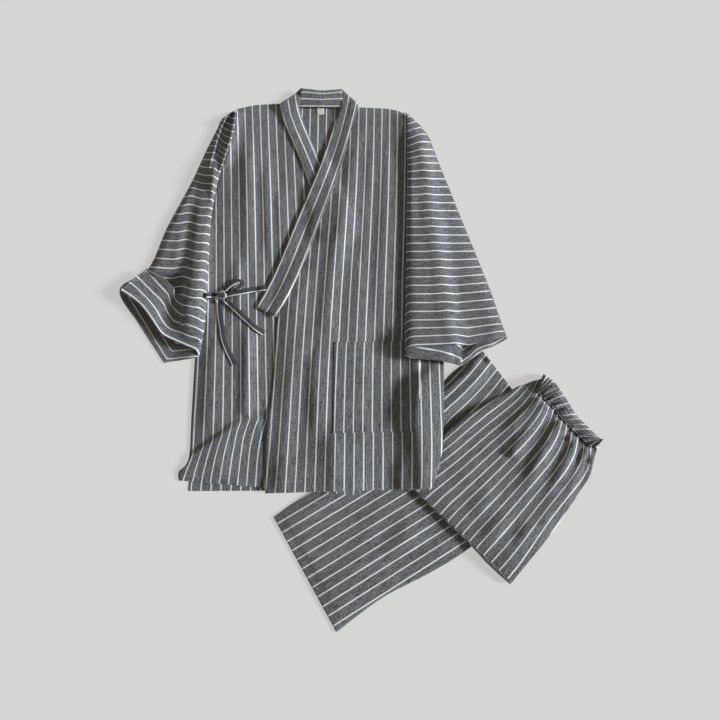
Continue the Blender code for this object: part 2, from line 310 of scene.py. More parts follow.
LABEL = [
    Section(-74, 485, -59, 485),
    Section(-73, 468, -58, 469),
]
# The waist casing: its top from the seam to the gathered edge, and its underside
WAISTBAND_OVER = [
    Section(340, -140, 354, -118),
    Section(346, -152, 372, -135),
    Section(362, -169, 387, -161),
    Section(377, -190, 401, -188),
    Section(393, -209, 420, -210),
    Section(411, -229, 438, -230),
    Section(431, -250, 447, -237),
]
WAISTBAND_UNDER = [
    Section(348, -137, 354, -118),
    Section(360, -149, 372, -135),
    Section(377, -168, 387, -161),
    Section(392, -188, 401, -188),
    Section(408, -208, 420, -210),
    Section(424, -229, 438, -230),
    Section(439, -247, 447, -237),
]


# ---------------------------------------------------------------- folds

LEFT_FRONT_FOLDS = [
    Fold([(10, 400), (4, 330), (-10, 240), (-30, 140), (-43, 20), (-46, -60)], 5.0, 20, 15, 0.35, 0.2),
    Fold([(118, 474), (119, 430), (120, 390), (124, 330)], 5.0, 4, 28, 0.02, 0.6),
    Fold([(-52, -50), (-66, -110), (-61, -180), (-56, -260)], 4.5, 26, 13, 0.25, 0.35),
    Fold([(124, -60), (122, -180), (127, -320)], 5.0, 30, 12, 0.1, 0.0),
    Fold([(44, 400), (34, 240), (22, 90)], 1.8, 16, 11, 0.3, 0.3),
    Fold([(78, 430), (68, 250), (54, 60), (46, -40)], 2.0, 17, 11, 0.2, 0.3),
    Fold([(-104, -60), (-112, -180), (-118, -320)], 2.2, 15, 12, 0.3, 0.0),
    Fold([(-28, -200), (-24, -320)], 2.6, 12, 16, 0.4, 0.0),
    Fold([(60, -90), (52, -200), (50, -318)], 1.4, 18, 14, 0.3, 0.0),
]
RIGHT_FRONT_FOLDS = [
    Fold([(-246, 476), (-250, 440), (-255, 400), (-263, 350), (-271, 305)], 8.0, 15, 5, 0.02, 0.35),
    Fold([(-222, 430), (-220, 380), (-212, 300), (-205, 180), (-196, 60)], 5.5, 17, 16, 0.25, 0.3),
    Fold([(-176, 380), (-172, 280), (-164, 180), (-150, 90)], 4.0, 14, 11, 0.3, 0.3),
    Fold([(-282, 230), (-280, 100), (-276, -30)], 4.5, 8, 12, 0.2, 0.3),
    Fold([(-222, 140), (-216, 40), (-208, -20)], 4.0, 13, 11, 0.3, 0.4),
    Fold([(-196, 10), (-191, -80), (-188, -196)], 5.5, 14, 10, 0.3, 0.05),
    Fold([(-252, -20), (-254, -120), (-252, -230)], 4.0, 20, 17, 0.3, 0.2),
    Fold([(-150, 300), (-140, 200), (-136, 120)], 2.5, 13, 9, 0.3, 0.3),
]
TUCK_LINE = [(-286, -268), (-262, -250), (-240, -233), (-222, -220), (-206, -205), (-180, -198),
             (-150, -196)]
TUCK = Fold(TUCK_LINE, 4.2, 3.0, 34, 0.0, 0.1)
SLEEVE_RIGHT_FOLDS = [
    Fold([(146, 428), (154, 370), (160, 290), (168, 180), (180, 70), (194, -58)], 4.2, 15, 20, 0.06, 0.0),
    Fold([(236, 110), (258, 30), (278, -48)], 3.0, 30, 22, 0.4, 0.0),
]
SLEEVE_LEFT_FOLDS = [
    Fold([(-262, 462), (-279, 405), (-285, 350), (-285, 300), (-283, 235)], 9.0, 10, 5, 0.04, 0.4),
    Fold([(-330, 240), (-338, 160), (-346, 110)], 2.5, 16, 14, 0.3, 0.1),
]


# ---------------------------------------------------------------- stripes

# Columns: the places of stripes -4, -2, 0, 2 and 5 of the right front
RIGHT_FRONT_NUMBERS = (-4, -2, 0, 2, 5)
RIGHT_FRONT_STRIPES = [
    StripeRow(500, (-309, -277, -247, -216, -163)),
    StripeRow(450, (-303, -271, -240, -210, -159)),
    StripeRow(400, (-300, -268, -239, -208, -155)),
    StripeRow(350, (-297, -265, -236, -201, -153)),
    StripeRow(300, (-292, -263, -231, -196, -150)),
    StripeRow(250, (-286, -258, -228, -191, -146)),
    StripeRow(200, (-284, -253, -224, -188, -142)),
    StripeRow(150, (-280, -249, -220, -186, -139)),
    StripeRow(100, (-277, -247, -216, -185, -135)),
    StripeRow(50, (-273, -242, -211, -182, -132)),
    StripeRow(0, (-270, -239, -207, -180, -129)),
    StripeRow(-50, (-268, -234, -201, -176, -127)),
    StripeRow(-100, (-266, -232, -198, -174, -124)),
    StripeRow(-150, (-264, -230, -197, -170, -120)),
    StripeRow(-200, (-260, -226, -194, -165, -117)),
    StripeRow(-320, (-256, -220, -189, -160, -111)),
]
# Columns: the places of stripes -8, -4, 0, 5 and 10 of the left front
LEFT_FRONT_NUMBERS = (-8, -4, 0, 5, 10)
LEFT_FRONT_STRIPES = [
    StripeRow(490, (-116, -50, 17, 100, 183)),
    StripeRow(400, (-118, -52, 16, 97, 180)),
    StripeRow(300, (-122, -54, 12, 94, 176)),
    StripeRow(250, (-124, -55, 8, 93, 174)),
    StripeRow(200, (-127, -57, 6, 92, 173)),
    StripeRow(150, (-129, -59, 3, 89, 171)),
    StripeRow(100, (-131, -62, 0, 86, 169)),
    StripeRow(50, (-134, -66, -2, 83, 167)),
    StripeRow(0, (-136, -68, -3, 82, 166)),
    StripeRow(-50, (-137, -69, -4, 80, 165)),
    StripeRow(-100, (-137, -71, -6, 79, 166)),
    StripeRow(-150, (-137, -73, -8, 78, 166)),
    StripeRow(-200, (-140, -74, -9, 78, 165)),
    StripeRow(-250, (-143, -74, -10, 78, 162)),
    StripeRow(-330, (-145, -75, -11, 77, 157)),
]
# Points on numbered stripes of the upper leg: number, then x and y
LEG_UPPER_MARKS = [
    (0, 263, -463), (4, 216, -418), (8, 168, -372), (12, 119, -325),
    (0, 301, -423), (4, 254, -384), (8, 203, -342), (11, 163, -309),
    (0, 345, -370), (4, 296, -336), (8, 247, -301), (12, 194, -264), (15, 163, -242),
    (0, 389, -324), (3, 350, -301), (6, 310, -279), (10, 259, -250), (12, 234, -236), (14, 208, -221),
    (0, 413, -285), (3, 379, -263), (6, 345, -240), (9, 318, -222), (12, 284, -199), (14, 255, -180),
    (0, 430, -254), (4, 385, -218), (8, 352, -190), (12, 320, -163), (14, 302, -147),
]
# The stripe along the crest of the loose leg
LEG_UNDER_STRIPE = [(120, -238), (170, -184), (200, -157), (230, -127), (250, -104), (268, -82)]


def fit_field(marks, degree_x, degree_y):
    """The smooth field that takes these numbers at these points: marks are (number, x, y)."""
    marks = np.array(marks, float)

    def terms(x, y):
        x, y = x / 300.0, y / 300.0
        return [x**i * y**j for i in range(degree_x + 1) for j in range(degree_y + 1)]

    table = np.stack(terms(marks[:, 1], marks[:, 2]), axis=1)
    weights = np.linalg.lstsq(table, marks[:, 0], rcond=None)[0]
    return lambda x, y: sum(w * term for w, term in zip(weights, terms(x, y)))


def rows_as_marks(numbers, rows):
    return [(number, x, row.y) for row in rows for number, x in zip(numbers, row.places)]


# ---------------------------------------------------------------- the pile


def widest(field, steps):
    """The highest value within this many steps, along both axes."""
    for axis in (0, 1):
        field = np.max([np.roll(field, shift, axis) for shift in range(-steps, steps + 1)], axis=0)
    return field


def softened(field, steps):
    """The mean within this many steps, taken twice over half of them."""
    width = max(1, steps // 2)
    for _ in range(2):
        for axis in (0, 1):
            shifted = [np.roll(field, shift, axis) for shift in range(-width, width + 1)]
            field = np.mean(shifted, axis=0)
    return field


def blend(grid, a, b):
    """The value at the share (a, b) of every square of a grid."""
    near = grid[:-1, :-1] * (1 - b) + grid[:-1, 1:] * b
    far = grid[1:, :-1] * (1 - b) + grid[1:, 1:] * b
    return near * (1 - a) + far * a


class Pile:
    """The height of the highest cloth so far, over a field of small squares."""

    def __init__(self):
        shape = int(2 * FIELD_Y / PITCH) + 1, int(2 * FIELD_X / PITCH) + 1
        self.top = np.zeros(shape)

    def place(self, x, y):
        column = np.clip((x + FIELD_X) / PITCH, 0, self.top.shape[1] - 1.001)
        row = np.clip((y + FIELD_Y) / PITCH, 0, self.top.shape[0] - 1.001)
        return row, column

    def rest(self, x, y, drape=DRAPE, reach=7.0):
        """The height at which soft cloth lies clear of the pile, and bridges its steps."""
        soft = int(math.ceil(drape / PITCH))
        field = softened(widest(self.top, soft + int(math.ceil(reach / PITCH))), soft)
        row, column = self.place(x, y)
        r, c = row.astype(int), column.astype(int)
        a, b = row - r, column - c
        height = (field[r, c] * (1 - a) + field[r + 1, c] * a) * (1 - b)
        height = height + (field[r, c + 1] * (1 - a) + field[r + 1, c + 1] * a) * b
        return height + GAP * np.clip(height / GAP, 0, 1)

    def add(self, x, y, z):
        span = max(np.abs(np.diff(a, axis=axis)).max() for a in (x, y) for axis in (0, 1))
        steps = int(math.ceil(1.5 * span / PITCH)) + 1
        for a in np.linspace(0, 1, steps):
            for b in np.linspace(0, 1, steps):
                row, column = self.place(blend(x, a, b), blend(y, a, b))
                spot = np.rint(row).astype(int), np.rint(column).astype(int)
                np.maximum.at(self.top, spot, blend(z, a, b))


class Surface:
    """The top of a mesh, looked down on."""

    def __init__(self, parts):
        points, faces, base = [], [], 0
        for part_points, part_faces, *_ in parts:
            points += part_points.tolist()
            faces += (part_faces + base).tolist()
            base += len(part_points)
        self.tree = BVHTree.FromPolygons(points, faces)

    def height(self, x, y, missing=0.0):
        down = Vector((0, 0, -1))
        out = np.full(x.shape, missing, float)
        for spot in np.ndindex(x.shape):
            hit = self.tree.ray_cast(Vector((x[spot], y[spot], LOOK_FROM)), down)[0]
            if hit is not None:
                out[spot] = hit.z
        return out


# ---------------------------------------------------------------- grids and folds


def along(points, count):
    """A smooth line through the points, cut into this many stretches of like share."""
    points = np.array(points, float)
    ends = np.vstack([2 * points[0] - points[1], points, 2 * points[-1] - points[-2]])
    share = np.linspace(0, len(points) - 1, count + 1)
    i = np.minimum(share.astype(int), len(points) - 2)
    t = (share - i)[:, None]
    a, b, c, d = ends[i], ends[i + 1], ends[i + 2], ends[i + 3]
    bend = 2 * b + (c - a) * t + (2 * a - 5 * b + 4 * c - d) * t**2
    return 0.5 * (bend + (3 * b - a - 3 * c + d) * t**3)


def length_of(points):
    return sum(math.dist(a, b) for a, b in zip(points, points[1:]))


def even(points, count):
    """The same line, cut into stretches of equal length."""
    fine = along(points, 400)
    run = np.concatenate([[0], np.cumsum(np.linalg.norm(np.diff(fine, axis=0), axis=1))])
    stops = np.linspace(0, run[-1], count + 1)
    return np.stack([np.interp(stops, run, fine[:, k]) for k in range(fine.shape[1])], axis=1)


def grid_of(sections, cell, across=None, down=None):
    """(x, y) of a piece's grid: rows down the piece, columns from its left to its right edge."""
    left = [(s.left_x, s.left_y) for s in sections]
    right = [(s.right_x, s.right_y) for s in sections]
    down = down or max(2, round(max(length_of(left), length_of(right)) / cell))
    across = across or max(2, round(max(math.dist(a, b) for a, b in zip(left, right)) / cell))
    left, right = along(left, down), along(right, down)
    share = np.linspace(0, 1, across + 1)[None, :, None]
    grid = left[:, None, :] * (1 - share) + right[:, None, :] * share
    return grid[..., 0], grid[..., 1]


def smooth_step(value):
    value = np.clip(value, 0, 1)
    return value * value * (3 - 2 * value)


def nearest_on_line(x, y, line):
    """Signed distance from each point to a line, above zero on its left, and the share along it."""
    line = even(line, 24)
    best = np.full(x.shape, np.inf)
    side = np.zeros(x.shape)
    share = np.zeros(x.shape)
    for k, (a, b) in enumerate(zip(line, line[1:])):
        run = b - a
        t = np.clip(((x - a[0]) * run[0] + (y - a[1]) * run[1]) / (run @ run), 0, 1)
        off_x, off_y = x - a[0] - t * run[0], y - a[1] - t * run[1]
        gap = np.hypot(off_x, off_y)
        closer = gap < best
        best = np.where(closer, gap, best)
        side = np.where(closer, np.sign(run[0] * off_y - run[1] * off_x), side)
        share = np.where(closer, (k + t) / (len(line) - 1), share)
    return best * side, share


def fold_height(x, y, fold):
    gap, share = nearest_on_line(x, y, fold.line)
    width = np.where(gap > 0, fold.left, fold.right)
    height = fold.rise * np.exp(-((gap / width) ** 2))
    if fold.fade_in:
        height = height * smooth_step(share / fold.fade_in)
    if fold.fade_out:
        height = height * smooth_step((1 - share) / fold.fade_out)
    return height


def fold_heights(x, y, folds):
    return sum((fold_height(x, y, fold) for fold in folds), np.zeros(x.shape))


class Ripple:
    """Uneven, soft waves of unit height: long along a heading, short across it."""

    def __init__(self, seed, short, long, size=512, pitch=2.5):
        self.size, self.pitch = size, pitch
        noise = np.random.default_rng(seed).normal(size=(size, size))
        rate = np.fft.fftfreq(size, pitch)
        falloff = np.exp(-2 * (np.pi * short * rate[None, :]) ** 2)
        falloff = falloff * np.exp(-2 * (np.pi * long * rate[:, None]) ** 2)
        waves = np.fft.ifft2(np.fft.fft2(noise) * falloff).real
        self.waves = waves / waves.std()

    def at(self, x, y, heading):
        """Heights at these points, with the waves' length along this heading in degrees."""
        turn = math.radians(heading)
        run = (x * math.cos(turn) + y * math.sin(turn)) / self.pitch
        side = (-x * math.sin(turn) + y * math.cos(turn)) / self.pitch
        r, c = np.floor(run).astype(int), np.floor(side).astype(int)
        a, b = run - r, side - c
        n = self.size
        near = self.waves[r % n, c % n] * (1 - b) + self.waves[r % n, (c + 1) % n] * b
        far = self.waves[(r + 1) % n, c % n] * (1 - b) + self.waves[(r + 1) % n, (c + 1) % n] * b
        return near * (1 - a) + far * a


WIDE_RIPPLE = Ripple(seed=11, short=11.0, long=60.0)
FINE_RIPPLE = Ripple(seed=23, short=4.5, long=16.0)


def inward(x, y, margin):
    """From 0 at the rim of a grid to 1 at this distance from it."""
    rows, columns = x.shape
    steps_x = np.hypot(np.diff(x, axis=1), np.diff(y, axis=1))
    steps_y = np.hypot(np.diff(x, axis=0), np.diff(y, axis=0))
    from_left = np.hstack([np.zeros((rows, 1)), np.cumsum(steps_x, axis=1)])
    from_top = np.vstack([np.zeros((1, columns)), np.cumsum(steps_y, axis=0)])
    gaps = [from_left, from_left[:, -1:] - from_left, from_top, from_top[-1:, :] - from_top]
    return smooth_step(np.min(gaps, axis=0) / margin)


# ---------------------------------------------------------------- meshes


Measure = namedtuple("Measure", "width length area")


def measured(outer, inner):
    """The size of a wall's cloth in mm, along its middle, where it is widest and longest."""
    middle = (outer + inner) / 2
    width = np.linalg.norm(np.diff(middle, axis=1), axis=-1).sum(axis=1).max()
    length = np.linalg.norm(np.diff(middle, axis=0), axis=-1).sum(axis=0).max()
    a, b, c, d = middle[:-1, :-1], middle[1:, :-1], middle[1:, 1:], middle[:-1, 1:]
    area = np.linalg.norm(np.cross(b - a, c - a), axis=-1).sum() / 2
    area += np.linalg.norm(np.cross(c - a, d - a), axis=-1).sum() / 2
    return Measure(width, length, area)


def wall_mesh(outer, inner, uv):
    """Points, faces, UVs and size of a closed wall between two grids, with a round rim."""
    rows, columns = outer.shape[:2]
    count = rows * columns
    number = np.arange(count).reshape(rows, columns)
    a, b, c, d = number[:-1, :-1], number[:-1, 1:], number[1:, 1:], number[1:, :-1]
    skin = np.stack([a, b, c, d], axis=-1).reshape(-1, 4)
    rim = np.concatenate([number[0, :], number[1:, -1], number[-1, -2::-1], number[-2:0:-1, 0]])
    beside = np.concatenate([number[1, :], number[1:, -2], number[-2, -2::-1], number[-2:0:-1, 1]])
    flat_outer, flat_inner = outer.reshape(-1, 3), inner.reshape(-1, 3)
    middle = (flat_outer + flat_inner) / 2
    out = middle[rim] - middle[beside]
    out /= np.linalg.norm(out, axis=1)[:, None] + 1e-9
    half = np.linalg.norm(flat_outer[rim] - flat_inner[rim], axis=1)[:, None] / 2
    edge = middle[rim] + out * half * 0.8
    points = np.vstack([flat_outer, flat_inner, edge])
    after = np.roll(np.arange(len(rim)), -1)
    edge_a, edge_b = 2 * count + np.arange(len(rim)), 2 * count + after
    upper = np.stack([rim[after], rim, edge_a, edge_b], axis=-1)
    lower = np.stack([edge_b, edge_a, count + rim, count + rim[after]], axis=-1)
    faces = np.vstack([skin, count + skin[:, ::-1], upper, lower])
    flat_uv = uv.reshape(-1, 2)
    uvs = np.vstack([flat_uv, flat_uv, flat_uv[rim]])
    return points, faces, uvs, measured(outer, inner)


def sighted(points):
    """Points moved along their sight lines to where their height puts them."""
    share = (SIGHT[2] - points[:, 2:]) / (SIGHT[2] - SIGHT_LEVEL)
    plan = SIGHT[:2] + (points[:, :2] - SIGHT[:2]) * share
    return np.hstack([plan, points[:, 2:]])


def signed_volume(points, faces):
    a, b, c, d = (points[faces[:, k]] for k in range(4))
    first = np.einsum("ij,ij->i", a, np.cross(b, c))
    return (first + np.einsum("ij,ij->i", a, np.cross(c, d))).sum()


def cloth_object(name, parts, material):
    """One object from (points, faces, uv, size) parts, in the layout's millimetres."""
    points, faces, uvs, base = [], [], [], 0
    laid["cuts"][name] = [size for part in parts for size in part[3:]]
    for part_points, part_faces, part_uv, *_ in parts:
        if signed_volume(part_points, part_faces) < 0:
            part_faces = part_faces[:, ::-1]
        points.append((sighted(part_points) - CENTRE) * MM)
        faces.append(part_faces + base)
        uvs.append(part_uv * MM)
        base += len(part_points)
    points, faces, uvs = np.vstack(points), np.vstack(faces), np.vstack(uvs)
    name = name + "_cloth"
    mesh = bpy.data.meshes.new(name)
    mesh.from_pydata(points.tolist(), [], faces.tolist())
    layer = mesh.uv_layers.new(name="cloth")
    corner = np.empty(len(mesh.loops), np.int32)
    mesh.loops.foreach_get("vertex_index", corner)
    layer.data.foreach_set("uv", uvs[corner].ravel())
    mesh.shade_smooth()
    mesh.materials.append(material)
    thing = bpy.data.objects.new(name, mesh)
    bpy.context.scene.collection.objects.link(thing)
    return thing


def stack(x, y, z):
    return np.stack([x, y, z], axis=-1)


def folded(low, high, wall, low_uv, high_uv, turns=6):
    """Outer, inner and UV grids of cloth that lies low, turns back over itself at its last
    column, and lies high. low and high are the undersides of the two layers."""
    low_top, high_top = low + (0, 0, wall), high + (0, 0, wall)
    edge = (low[:, -1] + high[:, -1]) / 2
    out = edge - (low[:, -2] + high[:, -2]) / 2
    out[:, 2] = 0
    out /= np.linalg.norm(out, axis=1)[:, None]
    outer = [low[:, k] for k in range(low.shape[1])]
    inner = [low_top[:, k] for k in range(low.shape[1])]
    uv = [low_uv[:, k] for k in range(low.shape[1])]
    foot, head = low[:, -1], high_top[:, -1]
    half = (head[:, 2:] - foot[:, 2:]) / 2
    for turn in range(1, turns):
        angle = math.pi * turn / turns
        lean, rise = math.sin(angle), (1 - math.cos(angle)) / 2
        centre = foot * (1 - rise) + head * rise
        bulge = np.minimum(half, MOST_BULGE)
        outer.append(centre + out * lean * bulge)
        tight = np.maximum(bulge - wall, 0.1)
        squeeze = wall / np.maximum(2 * half, 2.2 * wall)
        kept = squeeze + (1 - 2 * squeeze) * rise
        inner.append(foot * (1 - kept) + head * kept + out * lean * tight)
        uv.append(low_uv[:, -1] * (1 - rise) + high_uv[:, -1] * rise)
    columns = range(high.shape[1] - 1, -1, -1)
    outer += [high_top[:, k] for k in columns]
    inner += [high[:, k] for k in columns]
    uv += [high_uv[:, k] for k in columns]
    return tuple(np.stack(grids, axis=1) for grids in (outer, inner, uv))


# ---------------------------------------------------------------- settings


def length_setting(name, description, default, least, most):
    return FloatProperty(name=name, description=description, default=default, min=least,
                         max=most, unit="LENGTH", precision=4)


def colour_setting(name, description, default):
    return FloatVectorProperty(name=name, description=description, default=default, size=3,
                               min=0, max=1, subtype="COLOR")


class ClothSettings(bpy.types.PropertyGroup):
    """Sizes of the cloth and its weave."""

    wall: length_setting(
        "Cloth thickness", "Thickness of one layer of the cloth", 0.0012, 0.0005, 0.003)
    cell: length_setting(
        "Mesh pitch", "Side of the squares that the cloth is made of", 0.0045, 0.002, 0.02)
    fold_depth: FloatProperty(
        name="Fold depth", description="How strongly the folds stand, as a share of their plain height",
        default=1.2, min=0.0, max=3.0)
    stripe_width: length_setting(
        "Stripe width", "Width of one white stripe", 0.0021, 0.0005, 0.01)
    stripe_pitch: length_setting(
        "Stripe pitch", "From one white stripe to the next", STRIPE * MM, 0.005, 0.1)
    stitch_pitch: length_setting(
        "Stitch pitch", "From one stitch to the next", 0.0034, 0.002, 0.01)


class ColourSettings(bpy.types.PropertyGroup):
    """Colours of the set."""

    ground: colour_setting("Cloth", "Mean colour of the heathered ground", (0.150, 0.151, 0.154))
    dark_yarn: colour_setting("Dark yarn", "Darkest yarn of the ground", (0.040, 0.040, 0.042))
    stripe: colour_setting("Stripe", "The white stripes", (0.93, 0.93, 0.90))
    tie: colour_setting("Ties", "The plain cloth of the ties", (0.060, 0.061, 0.066))
    thread: colour_setting("Thread", "Sewing thread", (0.050, 0.050, 0.054))
    label: colour_setting("Label", "The neck label", (0.90, 0.87, 0.76))
    floor: colour_setting("Floor", "The surface under the set", (0.235, 0.225, 0.212))


def cloth():
    return bpy.context.scene.jinbei_cloth


def colours():
    return bpy.context.scene.jinbei_colours


# ---------------------------------------------------------------- materials


class Nodes:
    """Short hand for building a node tree."""

    def __init__(self, material):
        material.use_nodes = True
        self.tree = material.node_tree
        self.shader = self.tree.nodes["Principled BSDF"]

    def add(self, kind, **settings):
        node = self.tree.nodes.new("ShaderNode" + kind)
        for name, value in settings.items():
            setattr(node, name, value)
        return node

    def link(self, source, target):
        self.tree.links.new(source, target)

    def feed(self, socket, value):
        if hasattr(value, "is_output"):
            self.link(value, socket)
        else:
            socket.default_value = value

    def math(self, operation, a, b=0.0, c=0.0, clamp=False):
        node = self.add("Math", operation=operation, use_clamp=clamp)
        for socket, value in zip(node.inputs, (a, b, c)):
            self.feed(socket, value)
        return node.outputs[0]

    def span(self, value, low, high, to_low=0.0, to_high=1.0):
        node = self.add("MapRange", interpolation_type="SMOOTHSTEP")
        for name, item in (("Value", value), ("From Min", low), ("From Max", high),
                           ("To Min", to_low), ("To Max", to_high)):
            self.feed(node.inputs[name], item)
        return node.outputs["Result"]

    def mix(self, share, a, b, blend_type="MIX"):
        node = self.add("Mix", data_type="RGBA", blend_type=blend_type)
        self.feed(node.inputs["Factor"], share)
        self.feed(node.inputs[6], a)
        self.feed(node.inputs[7], b)
        return node.outputs[2]

    def noise(self, vector, scale, detail=2.0, roughness=0.5):
        node = self.add("TexNoise")
        self.link(vector, node.inputs["Vector"])
        node.inputs["Scale"].default_value = scale
        node.inputs["Detail"].default_value = detail
        node.inputs["Roughness"].default_value = roughness
        return node.outputs["Fac"]

    def stretched(self, vector, x, y):
        node = self.add("Mapping")
        node.inputs["Scale"].default_value = (x, y, 1.0)
        self.link(vector, node.inputs["Vector"])
        return node.outputs["Vector"]

    def parts(self, vector):
        """The node that gives a vector's X, Y and Z."""
        node = self.add("SeparateXYZ")
        self.link(vector, node.inputs[0])
        return node

    def bump(self, height, strength, distance):
        node = self.add("Bump")
        node.inputs["Strength"].default_value = strength
        node.inputs["Distance"].default_value = distance
        self.link(height, node.inputs["Height"])
        self.link(node.outputs["Normal"], self.shader.inputs["Normal"])

    def millimetres(self):
        """The cloth's own coordinates: across the stripes and along them, in millimetres."""
        source = self.add("UVMap", uv_map="cloth")
        return self.stretched(source.outputs["UV"], 1000.0, 1000.0)


def rgba(colour):
    return (*colour, 1.0)


def finish(name):
    """Turns a function that fills in nodes into one that gives its material, made only once."""

    def wrap(fill):
        def material():
            if name not in bpy.data.materials:
                fill(Nodes(bpy.data.materials.new(name)))
            return bpy.data.materials[name]

        return material

    return wrap


def heather(nodes, place, base, dark, contrast=1.0):
    """Uneven yarns: (colour, height), with short dark and pale streaks along and across."""
    warp = nodes.noise(nodes.stretched(place, 1.0, 0.22), 1.0, 2.0, 0.6)
    weft = nodes.noise(nodes.stretched(place, 0.28, 1.0), 1.0, 2.0, 0.6)
    fibre = nodes.noise(place, 0.95, 2.0, 0.6)
    slub = nodes.noise(nodes.stretched(place, 0.4, 0.05), 1.0, 1.0, 0.5)
    patch = nodes.noise(place, 0.012, 2.0, 0.5)
    grain = nodes.math("ADD", warp, weft)
    grain = nodes.math("MULTIPLY_ADD", fibre, 0.9, grain)
    grain = nodes.math("MULTIPLY_ADD", slub, 0.5, grain)
    share = nodes.span(grain, 1.44, 1.96)
    pale = [min(1.0, c * (1 + 0.78 * contrast)) for c in base]
    tone = nodes.mix(share, rgba(dark), rgba(pale))
    shade = nodes.span(patch, 0.3, 0.7, 0.92, 1.08)
    lifted = nodes.add("VectorMath", operation="SCALE")
    nodes.link(tone, lifted.inputs[0])
    nodes.link(shade, lifted.inputs["Scale"])
    return lifted.outputs[0], grain


def weave_height(nodes, place, pitch=0.62):
    """The over and under of a plain weave, as a height from 0 to 1."""
    apart = nodes.parts(place)
    turn = 2 * math.pi / pitch
    across = nodes.math("SINE", nodes.math("MULTIPLY", apart.outputs["X"], turn))
    along_it = nodes.math("SINE", nodes.math("MULTIPLY", apart.outputs["Y"], turn))
    return nodes.math("MULTIPLY_ADD", nodes.math("MULTIPLY", across, along_it), 0.5, 0.5)


def finish_cloth(nodes, colour, height, sheen):
    shader = nodes.shader
    nodes.link(colour, shader.inputs["Base Color"])
    shader.inputs["Sheen Weight"].default_value = sheen
    shader.inputs["Sheen Roughness"].default_value = 0.45
    shader.inputs["Specular IOR Level"].default_value = 0.22
    nodes.bump(height, 0.45, 0.0004)


@finish("striped cotton")
def striped_cloth(nodes):
    """Heathered charcoal cotton with fine white stripes along the warp."""
    place = nodes.millimetres()
    ground, grain = heather(nodes, place, colours().ground, colours().dark_yarn)
    apart = nodes.parts(place)
    wander = nodes.noise(nodes.stretched(place, 0.05, 0.12), 1.0, 1.0, 0.4)
    across = nodes.math("MULTIPLY_ADD", wander, 0.5, apart.outputs["X"])
    across = nodes.math("SUBTRACT", across, 0.25)
    pitch = cloth().stripe_pitch / MM
    off = nodes.math("PINGPONG", nodes.math("ADD", across, pitch * 100), pitch / 2)
    ragged = nodes.noise(nodes.stretched(place, 2.2, 0.8), 1.0, 2.0, 0.6)
    half = cloth().stripe_width / MM / 2
    edge = nodes.math("MULTIPLY_ADD", ragged, 0.9, half - 0.45)
    inner = nodes.math("SUBTRACT", edge, 0.22)
    outer = nodes.math("ADD", edge, 0.22)
    stripe = nodes.span(off, inner, outer, 1.0, 0.0)
    wear = nodes.noise(nodes.stretched(place, 0.6, 0.35), 1.0, 3.0, 0.7)
    stripe = nodes.math("MULTIPLY", stripe, nodes.span(wear, 0.25, 0.55, 0.78, 1.0))
    white = nodes.mix(nodes.span(grain, 1.3, 2.1), rgba([c * 0.88 for c in colours().stripe]),
                      rgba(colours().stripe))
    colour = nodes.mix(stripe, ground, white)
    height = nodes.math("MULTIPLY_ADD", grain, 0.45, weave_height(nodes, place))
    height = nodes.math("MULTIPLY_ADD", stripe, 0.5, height)
    nodes.link(nodes.span(grain, 1.3, 2.1, 0.94, 0.82), nodes.shader.inputs["Roughness"])
    finish_cloth(nodes, colour, height, 0.22)


@finish("tie cotton")
def tie_cloth(nodes):
    """The ties' plain charcoal cloth, with one white stripe near an edge."""
    place = nodes.millimetres()
    dark = [c * 0.5 for c in colours().tie]
    ground, grain = heather(nodes, place, colours().tie, dark, 0.7)
    apart = nodes.parts(place)
    off = nodes.math("ABSOLUTE", nodes.math("SUBTRACT", apart.outputs["X"], 3.9))
    stripe = nodes.span(off, 0.55, 0.95, 1.0, 0.0)
    colour = nodes.mix(stripe, ground, rgba(colours().stripe))
    height = nodes.math("MULTIPLY_ADD", grain, 0.45, weave_height(nodes, place))
    nodes.link(nodes.span(grain, 1.3, 2.1, 0.95, 0.84), nodes.shader.inputs["Roughness"])
    finish_cloth(nodes, colour, height, 0.15)


@finish("label tape")
def label_cloth(nodes):
    """Cream woven tape with ribs across it."""
    place = nodes.millimetres()
    dim = [c * 0.8 for c in colours().label]
    ground, grain = heather(nodes, place, [c * 0.75 for c in colours().label], dim, 0.3)
    ribs = weave_height(nodes, nodes.stretched(place, 1.4, 0.7))
    nodes.link(nodes.span(grain, 1.3, 2.1, 0.8, 0.66), nodes.shader.inputs["Roughness"])
    finish_cloth(nodes, ground, ribs, 0.1)


@finish("sewing thread")
def thread_finish(nodes):
    """Twisted polyester thread."""
    source = nodes.add("TexCoord")
    fibre = nodes.noise(source.outputs["Object"], 1800.0, 2.0, 0.6)
    tint = nodes.mix(fibre, rgba([c * 0.6 for c in colours().thread]),
                     rgba([c * 1.5 for c in colours().thread]))
    nodes.link(tint, nodes.shader.inputs["Base Color"])
    nodes.link(nodes.span(fibre, 0.2, 0.8, 0.5, 0.7), nodes.shader.inputs["Roughness"])
    nodes.bump(fibre, 0.4, 0.0002)


@finish("pale board")
def floor_finish(nodes):
    """A smooth, matt, pale board, lit softly from below so that shadows on it stay light."""
    source = nodes.add("TexCoord")
    cloud = nodes.noise(source.outputs["Object"], 3.0, 3.0, 0.5)
    base = colours().floor
    tint = nodes.mix(cloud, rgba([c * 0.985 for c in base]), rgba([c * 1.015 for c in base]))
    nodes.link(tint, nodes.shader.inputs["Base Color"])
    nodes.shader.inputs["Roughness"].default_value = 0.95
    nodes.shader.inputs["Specular IOR Level"].default_value = 0.1
    nodes.shader.inputs["Emission Color"].default_value = (1.0, 1.0, 1.0, 1.0)
    nodes.shader.inputs["Emission Strength"].default_value = 0.485


# ---------------------------------------------------------------- laying cloth

